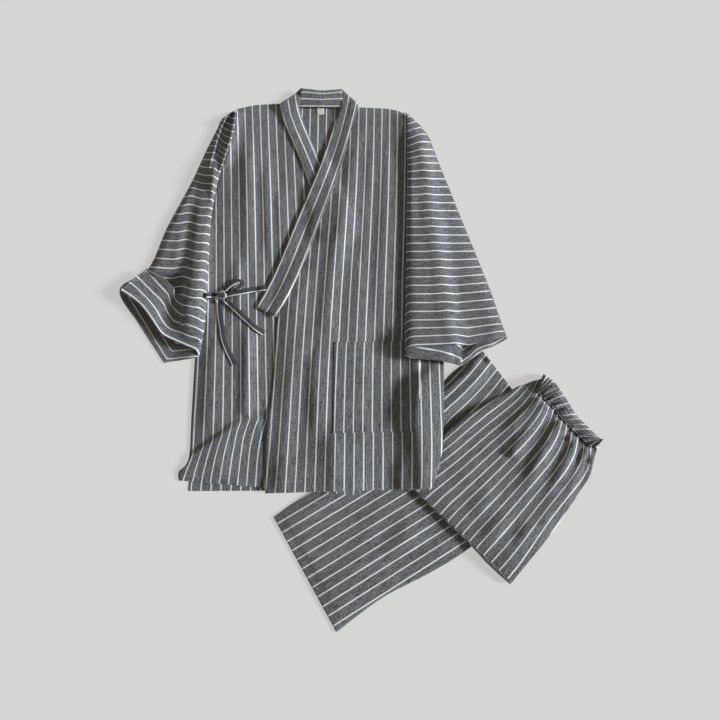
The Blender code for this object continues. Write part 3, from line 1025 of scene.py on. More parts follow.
# What has been laid so far; each piece made adds to it, so the order of the pieces matters
laid = {"pile": Pile(), "tops": {}, "surfaces": {}, "cuts": {}}


def mm(length):
    return length / MM


def keep_top(name, x, y, z, parts=()):
    """Remember a piece's upper surface, for the seams and pieces that lie on it."""
    laid["tops"][name] = stack(x, y, z)
    if parts:
        laid["surfaces"][name] = Surface(parts)


def lay(sections, uv_of, folds=(), ripple=0.0, heading=90.0, loft=0.0, margin=25.0,
        wall=None, cell=None, drape=DRAPE, shape=None, extra=None, across=None, down=None, on=None):
    """One layer of cloth on the pile: its grid (x, y), underside and UVs, with its folds."""
    cell = cell or mm(cloth().cell)
    x, y = grid_of(sections, cell, across, down)
    if shape:
        x, y = shape(x, y)
    under = laid["surfaces"][on].height(x, y) + GAP if on else laid["pile"].rest(x, y, drape)
    inner = inward(x, y, margin)
    relief = cloth().fold_depth * fold_heights(x, y, folds) + loft * inner
    if ripple:
        waves = WIDE_RIPPLE.at(x, y, heading) + 0.25 * FINE_RIPPLE.at(x, y, heading)
        relief = relief + ripple * (waves + 1.0) * (0.25 + 0.75 * inner)
    if extra is not None:
        relief = relief + extra(x, y)
    under = under + np.maximum(relief, 0)
    laid["pile"].add(x, y, under + (wall or mm(cloth().wall)))
    u, v = uv_of(x, y)
    return x, y, under, np.stack([u, v], axis=-1)


def place_piece(thing, node):
    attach(thing, "root")
    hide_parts(*(node if isinstance(node, (list, tuple)) else [node]))
    return thing


def panel(name, nodes, sections, uv_of, material=None, wall=None, slot="striped_cloth", **how):
    """A single sheet of cloth as one closed wall."""
    wall = wall or mm(cloth().wall)
    x, y, under, uv = lay(sections, uv_of, wall=wall, **how)
    part = wall_mesh(stack(x, y, under + wall), stack(x, y, under), uv)
    keep_top(name, x, y, under + wall, [part])
    return place_piece(cloth_object(name, [part], material or striped_cloth()), nodes)


def upright(number_of):
    """UVs for stripes that run up the piece."""
    return lambda x, y: (number_of(x, y) * STRIPE, y)


# ---------------------------------------------------------------- trousers

UPPER_HEADING = 44.0


def leg_lower_number(x, y):
    turn = math.radians(30.6)
    off = -(x + 19) * math.sin(turn) + (y + 546) * math.cos(turn)
    return (off - 10.0) / 17.0


def leg_uv(number_of, heading):
    turn = math.radians(heading)
    return lambda x, y: (number_of(x, y) * STRIPE, x * math.cos(turn) + y * math.sin(turn))


def tube_layers(sections, uv_of, lower_how, upper_how):
    """The two walls of a flattened leg, the upper one laid on the lower one."""
    wall = mm(cloth().wall)
    parts = []
    for how in (lower_how, upper_how):
        x, y, under, uv = lay(sections, uv_of, **how)
        parts.append(wall_mesh(stack(x, y, under + wall), stack(x, y, under), uv))
    return parts, (x, y, under + wall)


def make_leg_lower():
    uv_of = leg_uv(leg_lower_number, 30.6)
    folds = [
        Fold([(60, -340), (30, -400), (-20, -440)], 2.0, 18, 14, 0.4, 0.5),
        Fold([(110, -350), (90, -400), (60, -440)], 3.0, 22, 18, 0.4, 0.5),
        Fold([(-40, -470), (40, -430), (150, -380)], 1.6, 15, 14, 0.3, 0.3),
    ]
    parts, top = tube_layers(LEG_LOWER, uv_of, dict(cell=9.0),
                             dict(folds=folds, ripple=0.55, heading=30.6, loft=1.6))
    thing = cloth_object("leg_lower", parts, striped_cloth())
    keep_top("leg_lower", *top)
    return place_piece(thing, "trouser_leg_lower")


def gathers(x, y):
    """Ridges that fan out from the waist and die away down the leg."""
    start, end = np.array([346.0, -138.0]), np.array([437.0, -249.0])
    run = end - start
    width = np.linalg.norm(run)
    run /= width
    away = -((x - start[0]) * -run[1] + (y - start[1]) * run[0])
    side = (x - start[0]) * run[0] + (y - start[1]) * run[1]
    spread = side / (1 + np.maximum(away, 0) / 520.0)
    waves = 0.5 + 0.5 * np.sin(spread * 2 * math.pi / 13.0 + 0.9 * np.sin(spread / 9.0))
    short = 0.5 + 0.5 * np.sin(spread * 2 * math.pi / 6.3 + 1.2 * np.sin(spread / 5.0))
    waves = 3.6 * waves * np.exp(-np.maximum(away, 0) / 45.0)
    return waves + 2.6 * short * np.exp(-np.maximum(away, 0) / 18.0)


LEG_UPPER_FOLDS = [
    Fold([(352, -156), (330, -176), (306, -196), (284, -216), (258, -236)], 5.0, 13, 9, 0.08, 0.5),
    Fold([(362, -170), (338, -196), (312, -228), (292, -254), (282, -268)], 7.0, 11, 13, 0.05, 0.10),
    Fold([(384, -198), (366, -220), (350, -244), (330, -276), (312, -305), (290, -335)],
         7.5, 11, 11, 0.06, 0.5),
    Fold([(401, -224), (395, -250), (375, -284), (350, -320), (328, -350)], 6.5, 10, 10, 0.06, 0.5),
    Fold([(418, -240), (412, -268), (392, -306), (366, -345)], 5.2, 8, 7, 0.06, 0.4),
    Fold([(430, -252), (425, -280), (409, -312), (382, -348)], 4.0, 5, 6, 0.06, 0.4),
    Fold([(262, -322), (232, -345), (204, -362)], 5.0, 14, 16, 0.4, 0.4),
    Fold([(278, -358), (252, -386), (222, -405)], 5.0, 11, 13, 0.4, 0.4),
    Fold([(318, -372), (300, -392), (284, -408)], 3.4, 12, 12, 0.4, 0.4),
    Fold([(352, -360), (330, -388), (308, -416)], 2.6, 12, 10, 0.4, 0.4),
    Fold([(240, -262), (205, -290), (170, -318)], 2.4, 16, 14, 0.4, 0.4),
    Fold([(286, -158), (246, -180), (200, -208), (176, -228)], 3.2, 9, 9, 0.3, 0.3),
]
LEG_UNDER_FOLDS = [
    Fold([(140, -214), (170, -186), (200, -159), (230, -129), (250, -106), (262, -92)],
         6.0, 14, 5, 0.0, 0.1),
    Fold([(150, -164), (180, -138), (212, -112), (236, -86)], 7.0, 5, 12, 0.0, 0.05),
    Fold([(236, -80), (246, -74), (258, -78), (260, -88), (254, -100)], 6.0, 4, 4, 0.1, 0.4),
    Fold([(190, -222), (230, -190), (262, -160), (290, -136)], 2.6, 9, 8, 0.2, 0.2),
]


def under_number(x, y):
    return -nearest_on_line(x, y, LEG_UNDER_STRIPE)[0] / 16.4


def make_leg_upper():
    """The leg that is folded at the knee: two walls, each of which turns back at the fold."""
    wall = mm(cloth().wall)
    upper_number = fit_field(LEG_UPPER_MARKS, 3, 2)
    under_uv, upper_uv = leg_uv(under_number, 40.0), leg_uv(upper_number, UPPER_HEADING)
    shared = dict(across=46)
    low = [lay(LEG_UNDER, under_uv, down=44, **shared)]
    low.append(lay(LEG_UNDER, under_uv, down=44, folds=LEG_UNDER_FOLDS, ripple=0.5,
                   heading=40.0, loft=1.0, **shared))
    high = [lay(LEG_UPPER, upper_uv, down=70, **shared)]
    high.append(lay(LEG_UPPER, upper_uv, down=70, folds=LEG_UPPER_FOLDS, ripple=0.8,
                    heading=UPPER_HEADING, loft=1.5, extra=gathers, **shared))
    parts = []
    for (lx, ly, lz, luv), (hx, hy, hz, huv) in ((low[0], high[1]), (low[1], high[0])):
        lows, highs = stack(lx, ly, lz), stack(hx, hy, hz)
        grids = folded(lows.transpose(1, 0, 2), highs.transpose(1, 0, 2), wall,
                       luv.transpose(1, 0, 2), huv.transpose(1, 0, 2))
        parts.append(wall_mesh(*grids))
    thing = cloth_object("leg_upper", parts, striped_cloth())
    keep_top("leg_upper", high[1][0], high[1][1], high[1][2] + wall)
    keep_top("leg_under", low[1][0], low[1][1], low[1][2] + wall)
    return place_piece(thing, ["trouser_leg_upper", "trouser_leg_under"])


def make_waistband():
    """The casing, gathered in uneven ribs on its elastic."""
    wall = mm(cloth().wall)
    x, y = grid_of(WAISTBAND_OVER, 1.5, across=18, down=150)
    low_x, low_y = grid_of(WAISTBAND_UNDER, 1.5, across=18, down=150)
    share = np.linspace(0, 1, x.shape[1])[None, :]
    run = np.linspace(0, 150, x.shape[0])[:, None]
    bend = run + 2.5 * np.sin(run / 7.0) + 1.6 * np.sin(run / 3.3 + 1.0) + 1.4 * share
    ribs = 0.5 + 0.5 * np.sin(bend * 2 * math.pi / 6.1)
    ribs = ribs + 0.3 * np.sin(bend * 2 * math.pi / 14.3 + 3 * share)
    crown = np.clip(share / 0.8, 0, 1) * np.clip((1 - share) / 0.12, 0, 1) ** 0.5
    channel = np.exp(-(((share - 0.16) / 0.05) ** 2)) + np.exp(-(((share - 0.84) / 0.05) ** 2))
    base = softened(laid["pile"].rest(x, y, 4.0, reach=3.0), 6)
    base = np.maximum(base.min(axis=1, keepdims=True) * (1 - 0.2 * share), wall + 2.0)
    high = base + 0.4 + 3.6 * crown + 4.2 * ribs * (1 - 0.45 * channel) - 0.7 * channel
    number = bend / 12.4 + 0.15
    uv = np.stack([number * STRIPE, 30 * share + 0 * run], axis=-1)
    low = stack(low_x, low_y, np.zeros(low_x.shape))
    grids = folded(low, stack(x, y, high), wall, uv, uv)
    laid["pile"].add(x, y, high + wall)
    part = wall_mesh(*grids)
    keep_top("waist_casing", x, y, high + wall, [part])
    return place_piece(cloth_object("waist_casing", [part], striped_cloth()), "waistband")


# ---------------------------------------------------------------- jacket body


def back_number(x, y):
    return (x + 67.0 + 0.004 * (y + 320)) / (17.3 + 0.0003 * y)


def shoulder_shape(x, y):
    """Rounds the top edge of a body panel to the line of the shoulders."""
    xs, ys = zip(*SHOULDERS)
    share = smooth_step((y - 370) / (y[:1] - 370))
    return x, y + share * (np.interp(x[:1], xs, ys) - y[:1])


def neck_shape(x, y):
    """The back's top edge rises under the collar."""
    rise = 13.0 * np.exp(-(((x + 65.0) / 70.0) ** 4))
    fade = smooth_step((y - 380) / 90.0)
    return x, y + rise * fade


def make_back():
    thing = panel("back", "jacket_back", BACK, upright(back_number), ripple=0.35, loft=0.6,
                  shape=neck_shape)
    return thing


def tuck_depth(x, y):
    """How far a point lies below the tuck, and 0 above it."""
    gap = nearest_on_line(x, y, TUCK_LINE)[0]
    return np.maximum(-gap, 0) * (x < -140)


def right_front_number_field():
    field = fit_field(rows_as_marks(RIGHT_FRONT_NUMBERS, RIGHT_FRONT_STRIPES), 2, 5)

    def number(x, y):
        depth = tuck_depth(x, y)
        swing = np.interp(x, [-290, -200, -150], [28, 23, 21])
        return field(x + swing * (1 - np.exp(-depth / 45.0)), y)

    return number


def make_right_front():
    def tuck(x, y):
        return fold_height(x, y, TUCK)

    return panel("right_front", "right_front", RIGHT_FRONT, upright(right_front_number_field()),
                 folds=RIGHT_FRONT_FOLDS, ripple=0.7, loft=1.8, extra=tuck, shape=shoulder_shape)


def make_left_front():
    field = fit_field(rows_as_marks(LEFT_FRONT_NUMBERS, LEFT_FRONT_STRIPES), 2, 5)

    return panel("left_front", "left_front", LEFT_FRONT, upright(field),
                 folds=LEFT_FRONT_FOLDS, ripple=0.6, loft=1.8, shape=shoulder_shape)


def make_pocket():
    field = fit_field(rows_as_marks(LEFT_FRONT_NUMBERS, LEFT_FRONT_STRIPES), 2, 5)

    def number(x, y):
        return field(x + 2.0, y)

    return panel("pocket", "pocket", POCKET, upright(number), loft=0.3, margin=12.0,
                 wall=1.0, on="left_front")


def make_label():
    def uv_of(x, y):
        return x + 66, y - 470

    return panel("neck_label", "neck_label", LABEL, uv_of, material=label_cloth(), wall=0.6,
                 slot="label_cotton", cell=1.5, margin=2.0, loft=0.2, drape=3.0)


# ---------------------------------------------------------------- collar


def collar_band(name, sections, number_of, lift):
    """The folded band down one front, laid on the pile, highest where it turns behind the neck."""
    wall = 2.4
    x, y = grid_of(sections, 4.0, across=12)
    share = np.linspace(-1, 1, x.shape[1])[None, :]
    relief = 1.1 * np.sqrt(np.clip(1 - share**4, 0, 1)) + 0.25 * (1 + WIDE_RIPPLE.at(x, y, 66))
    under = laid["pile"].rest(x, y, 6.0) + relief + lift(x, y)
    uv = np.stack([number_of(x, y) * STRIPE, -y / 0.92], axis=-1)
    laid["pile"].add(x, y, under + wall)
    part = wall_mesh(stack(x, y, under + wall), stack(x, y, under), uv)
    keep_top(name, x, y, under + wall, [part])
    return part


def neck_band():
    """(x, y), underside and UVs of the band that stands behind the neck, from its seam up."""
    if "neck" not in laid:
        x, y = grid_of(NECK_BAND, 3.0, across=30)
        x, y = x[::-1], y[::-1]
        rise = smooth_step((y - 487) / 50.0)
        dip = -4.5 * np.exp(-(((x + 62) / 26.0) ** 2)) * rise
        under = laid["pile"].rest(x, y, 4.0).max() + 0.8 + 9.0 * rise
        under = under + 1.2 * np.exp(-(((x + 66) / 5.0) ** 2)) * (1 - rise)
        number = np.interp(y, [484, 490.5, 510.5, 528, 545], [-1.35, -1, 0, 1, 1.9])
        laid["neck"] = x, y + dip, under, np.stack([number * STRIPE, x], axis=-1)
    return laid["neck"]


def neck_half(columns):
    wall = 2.2
    x, y, under, uv = (a[:, columns] for a in neck_band())
    return wall_mesh(stack(x, y, under + wall), stack(x, y, under), uv)


def shoulder_rise(x, y):
    """The collar climbs to stand behind the neck."""
    return 9.0 * smooth_step((y - 452) / 75.0)


def make_collar_right():
    halves = neck_half(slice(0, 16))
    number = fit_field(COLLAR_RIGHT_MARKS, 1, 3)
    band = collar_band("collar_right", COLLAR_RIGHT, number, shoulder_rise)
    return place_piece(cloth_object("collar_right", [band, halves], striped_cloth()), "collar_right")


def make_collar_left():
    halves = neck_half(slice(15, None))
    number = fit_field(COLLAR_LEFT_MARKS, 1, 4)
    band = collar_band("collar_left", COLLAR_LEFT, number, shoulder_rise)
    return place_piece(cloth_object("collar_left", [band, halves], striped_cloth()), "collar_left")


# ---------------------------------------------------------------- sleeves


def mouth(profile, start, end):
    """A shape for the sleeve's grid: its last rows run to this profile of the mouth."""
    xs, ys = zip(*profile)

    def shape(x, y):
        share = np.clip((start - y) / (start - end), 0, 1) ** 2
        return x, y * (1 - share) + share * (np.interp(x, xs, ys) + (y - end))

    return shape


def sleeve_layer(sections, number_of, outer_on_left, relief=None, shape=None, down=124, sink=None):
    """(x, y, underside, UVs) of one layer of a sleeve, its last column at the outer edge."""
    x, y = grid_of(sections, 4.5, across=38, down=down)
    if outer_on_left:
        x, y = x[:, ::-1], y[:, ::-1]
    if shape:
        x, y = shape(x, y)
    under = laid["pile"].rest(x, y)
    if relief:
        share = np.linspace(0, 1, x.shape[1])[None, :]
        under = under + np.maximum(relief(x, y, share), 0)
        over = (under - SETTLES_ABOVE) / SETTLES_WITHIN
        settled = SETTLES_ABOVE + SETTLES_WITHIN * (1 - np.exp(-over))
        under = np.where(under > SETTLES_ABOVE, settled, under)
    if sink:
        depth, floor = sink(x, y), (2.0 if relief else 0.0)
        under = under * (1 - depth) + floor * depth
    laid["pile"].add(x, y, under + mm(cloth().wall))
    return stack(x, y, under), np.stack([number_of(x, y) * STRIPE, x], axis=-1)


def puffed(puff, folds, hollow=None):
    """The relief of a sleeve's upper layer: its fullness, its folds and uneven waves."""

    def relief(x, y, share):
        inner = inward(x, y, 18.0)
        waves = WIDE_RIPPLE.at(x, y, 90.0) + 0.25 * FINE_RIPPLE.at(x, y, 90.0)
        height = puff(x, y, share) + cloth().fold_depth * fold_heights(x, y, folds)
        height = height + 0.7 * (waves + 1.0) * inner
        return height * (1 - hollow(x, y)) if hollow else height

    return relief


def sleeve_right_number(x, y):
    """Stripes run across the sleeve and lean where it turns at the shoulder."""
    places = np.array([-120, -54, 0, 68, 196, 289, 347, 367, 380, 438, 520])
    numbers = np.array([-10.4, -6.9, -3.75, 0, 7, 12, 15, 16.2, 17, 20, 24.5])
    lean = smooth_step((y - 300) / 120.0)
    left = np.clip((150 - x) / 30.0, 0, 1)
    corner = 11 * np.clip((116 - x) / 13.0, 0, 1) ** 2
    drift = 0.10 * np.clip(x - 205, 0, None) * (1 - smooth_step((y - 60) / 120.0))
    bump = 2.0 * np.exp(-(((x - (186 - 0.115 * y)) / 12.0) ** 2)) * (y < 430)
    number = np.interp(y + 12 * lean * left + corner - drift - bump + 1.0, places, numbers)
    xs, ys = zip(*MOUTH_FRONT)
    hem = -7 + (y - np.interp(x, xs, ys) - 2.2) / 17.0
    share = smooth_step((y + 50) / 60.0)
    return hem * (1 - share) + number * share


def puff_right(x, y, share):
    """Full beside the body, where it drops sharply, and flatter towards the turned edge."""
    reach = smooth_step((470 - y) / 110.0)
    steep = 7.0 - 5.2 * smooth_step((y - 300) / 80.0)
    side = np.clip(1 - (1 - share * steep).clip(0) ** 2, 0, 1) ** 0.5
    turn = np.clip(1 - (1 - (1 - share) * 6.0).clip(0) ** 2, 0, 1) ** 0.5
    return (1.5 + 7.5 * reach) * side * turn * (1 - 0.72 * share)


def sleeve_right_inside_number(x, y):
    """The back layer's stripes follow its mouth, and break at the seam under the arm."""
    xs, ys = zip(*MOUTH_BACK)
    depth = y - np.interp(x, xs, ys)
    return np.where(x < 207, (depth - 18.0) / 24.0, (depth - 12.0) / 20.0)


def make_sleeve_right():
    wall = mm(cloth().wall)

    def seam_step(x, y, share):
        return 8.0 * smooth_step((208 - x) / 5.0) * smooth_step((-20 - y) / 40.0)

    low, low_uv = sleeve_layer(SLEEVE_RIGHT_UNDER, sleeve_right_inside_number, False, seam_step,
                               shape=mouth(MOUTH_BACK, 30, -60))
    high, high_uv = sleeve_layer(SLEEVE_RIGHT_OVER, sleeve_right_number, False,
                                 puffed(puff_right, SLEEVE_RIGHT_FOLDS),
                                 shape=mouth(MOUTH_FRONT, 20, -52))
    part = wall_mesh(*folded(low, high, wall, low_uv, high_uv))
    keep_top("sleeve_right", high[..., 0], high[..., 1], high[..., 2] + wall, [part])
    return place_piece(cloth_object("sleeve_right", [part], striped_cloth()), "sleeve_right")


def sleeve_left_number(x, y):
    """Stripes run across the sleeve and rise and fall over its fullness."""
    places = [-77, 0, 20, 41, 58, 79, 100, 120, 140, 160, 180, 200, 221, 240, 260, 280, 296,
              316, 335, 354, 372, 389, 402, 520]
    numbers = [-9, -5, -4, -3, -2, -1, 0, 1, 2, 3, 4, 5, 6, 7, 8, 9, 10, 11, 12, 13, 14, 15, 16, 23]
    across = [-390, -345, -328, -320, -310, -300, -290, -282, -276, -262, -254]
    rise = [6, 3, 7, 6, 2, -0.5, 0, -2, -8, -14, -18]
    valley = 10 * smooth_step((y - 330) / 60.0) * smooth_step((x + 285) / 20.0)
    return np.interp(y - np.interp(x, across, rise) + valley, places, numbers)


def sleeve_left_inside_number(x, y):
    """Inside the mouth the stripes follow its two edges, and meet in a mitre."""
    along_side = (x + 445) * 0.825 + (y - 58) * 0.565
    along_foot = (y + 91) * 0.995 - (x + 343) * 0.1
    depth = np.minimum(along_side, along_foot)
    inside = (depth - 7.5) / 14.5
    below = nearest_on_line(x, y, CUFF_3)[0] < 0
    return np.where(below, inside, sleeve_left_number(x, y))


def puff_left(x, y, share):
    reach = smooth_step((470 - y) / 130.0)
    side = np.clip(1 - (1 - share * 7.0).clip(0) ** 2, 0, 1) ** 0.5
    turn = np.clip(1 - (1 - (1 - share) * 6.0).clip(0) ** 2, 0, 1) ** 0.5
    flat = smooth_step((y + 60) / 70.0)
    full = 4.0 * np.exp(-(((x + 305) / 20.0) ** 2) - ((y - 70) / 60.0) ** 2)
    cap = 1 - 0.6 * smooth_step((y - 330) / 60.0)
    return (1.0 + 9.0 * reach * flat * cap + full) * side * turn


def cuff_hollow(x, y):
    """The sleeve sinks where it runs in under the turned cuff, with a sharp side."""
    sharp = smooth_step((-321 - x) / 4.0)
    above = smooth_step((96 - y) / 14.0)
    inside = smooth_step((-20 - y) / 30.0)
    return np.maximum(0.97 * sharp * above, inside * 0.8)


def armhole_left(x, y):
    """Beside the armhole the sleeve lies low, then rises to its seam with the front's edge."""
    crest = np.interp(y, [300, 350, 380, 400, 440, 462, 475], [-294, -292, -287, -284, -276, -267, -257])
    seam = np.interp(y, [299, 402, 434, 448, 463, 475], [-273, -253, -249, -247.5, -247, -246])
    rise = smooth_step((x - seam + 8) / 5.0)
    return smooth_step((x - crest) / 4.0) * smooth_step((y - 300) / 90.0) * (1 - rise)


def make_sleeve_left():
    """The sleeve as a flattened tube, and its cuff turned up over the mouth."""
    wall = mm(cloth().wall)
    low, low_uv = sleeve_layer(SLEEVE_LEFT_UNDER, sleeve_left_number, True, sink=armhole_left)
    high, high_uv = sleeve_layer(SLEEVE_LEFT_OVER, sleeve_left_inside_number, True,
                                 puffed(puff_left, SLEEVE_LEFT_FOLDS, cuff_hollow),
                                 sink=armhole_left)
    body = wall_mesh(*folded(low, high, wall, low_uv, high_uv))
    surface = Surface([body])
    lines = np.stack([along(line, 60) for line in CUFF_LINES])
    lifts = np.stack([along([(v, 0) for v in row], 60)[:, 0] for row in CUFF_LIFTS])
    numbers = np.stack([along([(v, 0) for v in CUFF_TOP_NUMBERS], 60)[:, 0]]
                       + [np.full(61, v) for v in (1, 2, 3, 4, 4.16)])
    rows = np.concatenate([np.linspace(k, k + 1, n, endpoint=False)
                           for k, n in enumerate((8, 5, 5, 5, 2))] + [[5]])

    def spread(table):
        k = np.minimum(rows.astype(int), 4)
        t = (rows - k).reshape(-1, *[1] * (table.ndim - 1))
        return table[k] * (1 - t) + table[k + 1] * t

    place, lift, number = spread(lines), spread(lifts), spread(numbers)
    x, y = place[..., 0], place[..., 1]
    under = softened(surface.height(x, y, 2.0), 4) + lift
    under = np.where(lift < 0.3, surface.height(x, y, 2.0) + lift, under)
    under = np.maximum(under, 3.0)
    run = np.cumsum(np.hypot(np.gradient(x, axis=1), np.gradient(y, axis=1)), axis=1)
    uv = np.stack([-number * STRIPE, run], axis=-1)
    cuff = wall_mesh(stack(x, y, under + wall), stack(x, y, under), uv)
    laid["pile"].add(x, y, under + wall)
    keep_top("sleeve_left", high[..., 0], high[..., 1], high[..., 2] + wall, [body, cuff])
    keep_top("sleeve_cuff", x, y, under + wall)
    return place_piece(cloth_object("sleeve_left", [body, cuff], striped_cloth()), "sleeve_left")


# ---------------------------------------------------------------- ties

TIE_WIDTH = 10.0


def strip_sections(middle, width):
    middle = np.array(middle, float)
    heading = np.gradient(middle, axis=0)
    heading /= np.linalg.norm(heading, axis=1)[:, None]
    side = np.stack([-heading[:, 1], heading[:, 0]], axis=1) * width / 2
    return [Section(*(m + s), *(m - s)) for m, s in zip(middle, side)]


def tie(name, node, middle, width=TIE_WIDTH, loft=0.6):
    wall = 1.3
    x, y = grid_of(strip_sections(middle, width), 2.0, across=8)
    under = laid["pile"].rest(x, y, 4.0, reach=3.0)
    share = np.linspace(-1, 1, x.shape[1])[None, :]
    under = under + loft * (1 - share**2)
    run = np.concatenate([[0], np.cumsum(np.hypot(np.diff(x[:, 4]), np.diff(y[:, 4])))])[:, None]
    uv = np.stack([share * width / 2 + 0 * run, run + 0 * share], axis=-1)
    laid["pile"].add(x, y, under + wall)
    part = wall_mesh(stack(x, y, under + wall), stack(x, y, under), uv)
    return place_piece(cloth_object(name, [part], tie_cloth()), node)


def make_ties():
    return [
        tie("tie_side", "tie_side", [(-276, 46), (-264, 46), (-254, 46)]),
        tie("tie_front", "tie_front", [(-241, 46), (-224, 50), (-204, 54), (-184, 58), (-163, 61)]),
        tie("tie_tail_side", "tie_tail_side",
            [(-251, 36), (-249, 14), (-243, -16), (-234, -52), (-213, -94)]),
        tie("tie_tail_front", "tie_tail_front",
            [(-240, 37), (-225, 23), (-208, 7), (-191, -9), (-179, -20), (-162, -32)]),
        tie("tie_loop", "tie_loop", [(-243, 57), (-232, 68), (-219, 76), (-210, 72), (-222, 58)]),
    ]


def make_knot():
    """The knot: a small cushion with the wraps of the tie round it."""
    turns, rings = 40, 20
    angle = np.linspace(0, 2 * math.pi, turns + 1)
    lean = np.linspace(0, 1, rings + 1)
    a, b = np.meshgrid(angle, lean)
    swell = 1 + 0.10 * np.cos(3 * a + 4 * b)
    reach = 9.0 * np.cos(b * math.pi / 2) ** 0.6 * swell
    x = -247 + reach * np.cos(a) * 1.1
    y = 46 + reach * np.sin(a) * 0.9
    base = float(laid["pile"].rest(x, y, 3.0, reach=3.0).max())
    z = base + 7.0 * np.sin(b * math.pi / 2) * (1 + 0.08 * np.cos(2 * a + 1.0))
    uv = np.stack([b * 9, a * 9], axis=-1)
    number = np.arange((rings + 1) * turns).reshape(rings + 1, turns)
    points = stack(x, y, z)[:, :-1].reshape(-1, 3)
    skin = np.stack([number[:-1], np.roll(number[:-1], -1, 1), np.roll(number[1:], -1, 1),
                     number[1:]], axis=-1).reshape(-1, 4)
    foot = len(points)
    points = np.vstack([points, (-247, 46, base)])
    ring = number[0]
    half = np.arange(0, turns, 2)
    cap = np.stack([ring[half], np.full(len(half), foot), ring[(half + 2) % turns],
                    ring[half + 1]], axis=-1)
    faces = np.vstack([skin, cap])
    flat_uv = np.vstack([uv[:, :-1].reshape(-1, 2), (0, 0)])
    part = (points, faces, flat_uv)
    return place_piece(cloth_object("knot", [part], tie_cloth()), "tie_knot")


# ---------------------------------------------------------------- stitches

# Lines of stitching: the piece, the side that the line follows, how far in from it the line
# lies in mm, and the share of the side where it starts and ends
Seam = namedtuple("Seam", "piece side inset start end")
SEAMS = [
    Seam("right_front", "foot", 14, 0.02, 0.98), Seam("left_front", "foot", 14, 0.02, 0.98),
    Seam("left_front", "left", 6, 0.62, 0.97), Seam("back", "foot", 14, 0.02, 0.98),
    Seam("collar_right", "left", 2.5, 0.2, 1), Seam("collar_right", "right", 2.5, 0.2, 1),
    Seam("collar_left", "left", 2.5, 0.1, 0.98), Seam("collar_left", "right", 2.5, 0.1, 0.98),
    Seam("collar_left", "foot", 3, 0.05, 0.95),
    Seam("pocket", "left", 2, 0, 1), Seam("pocket", "right", 2, 0, 1),
    Seam("pocket", "foot", 2, 0, 1), Seam("pocket", "head", 16, 0, 1),
    Seam("sleeve_right", "foot", 11, 0.03, 0.97), Seam("sleeve_cuff", "foot", 12, 0.02, 0.97),
    Seam("leg_lower", "head", 16, 0.03, 0.97),
    Seam("waist_casing", "left", 3.5, 0, 1), Seam("waist_casing", "right", 4.5, 0, 1),
]


def line_inside(grid, side, inset, start, end):
    """A line on a grid of points, this far in from its head, foot, left or right side."""
    if side in ("left", "right"):
        grid = grid.transpose(1, 0, 2)
    if side in ("foot", "right"):
        grid = grid[::-1]
    count = grid.shape[1]
    rows = grid[:, int(start * (count - 1)):int(round(end * (count - 1))) + 1]
    reach = np.linalg.norm(np.diff(rows, axis=0), axis=2)
    reach = np.concatenate([np.zeros((1, rows.shape[1])), np.cumsum(reach, axis=0)])
    line = [[np.interp(inset, reach[:, k], rows[:, k, axis]) for axis in range(3)]
            for k in range(rows.shape[1])]
    return np.array(line)


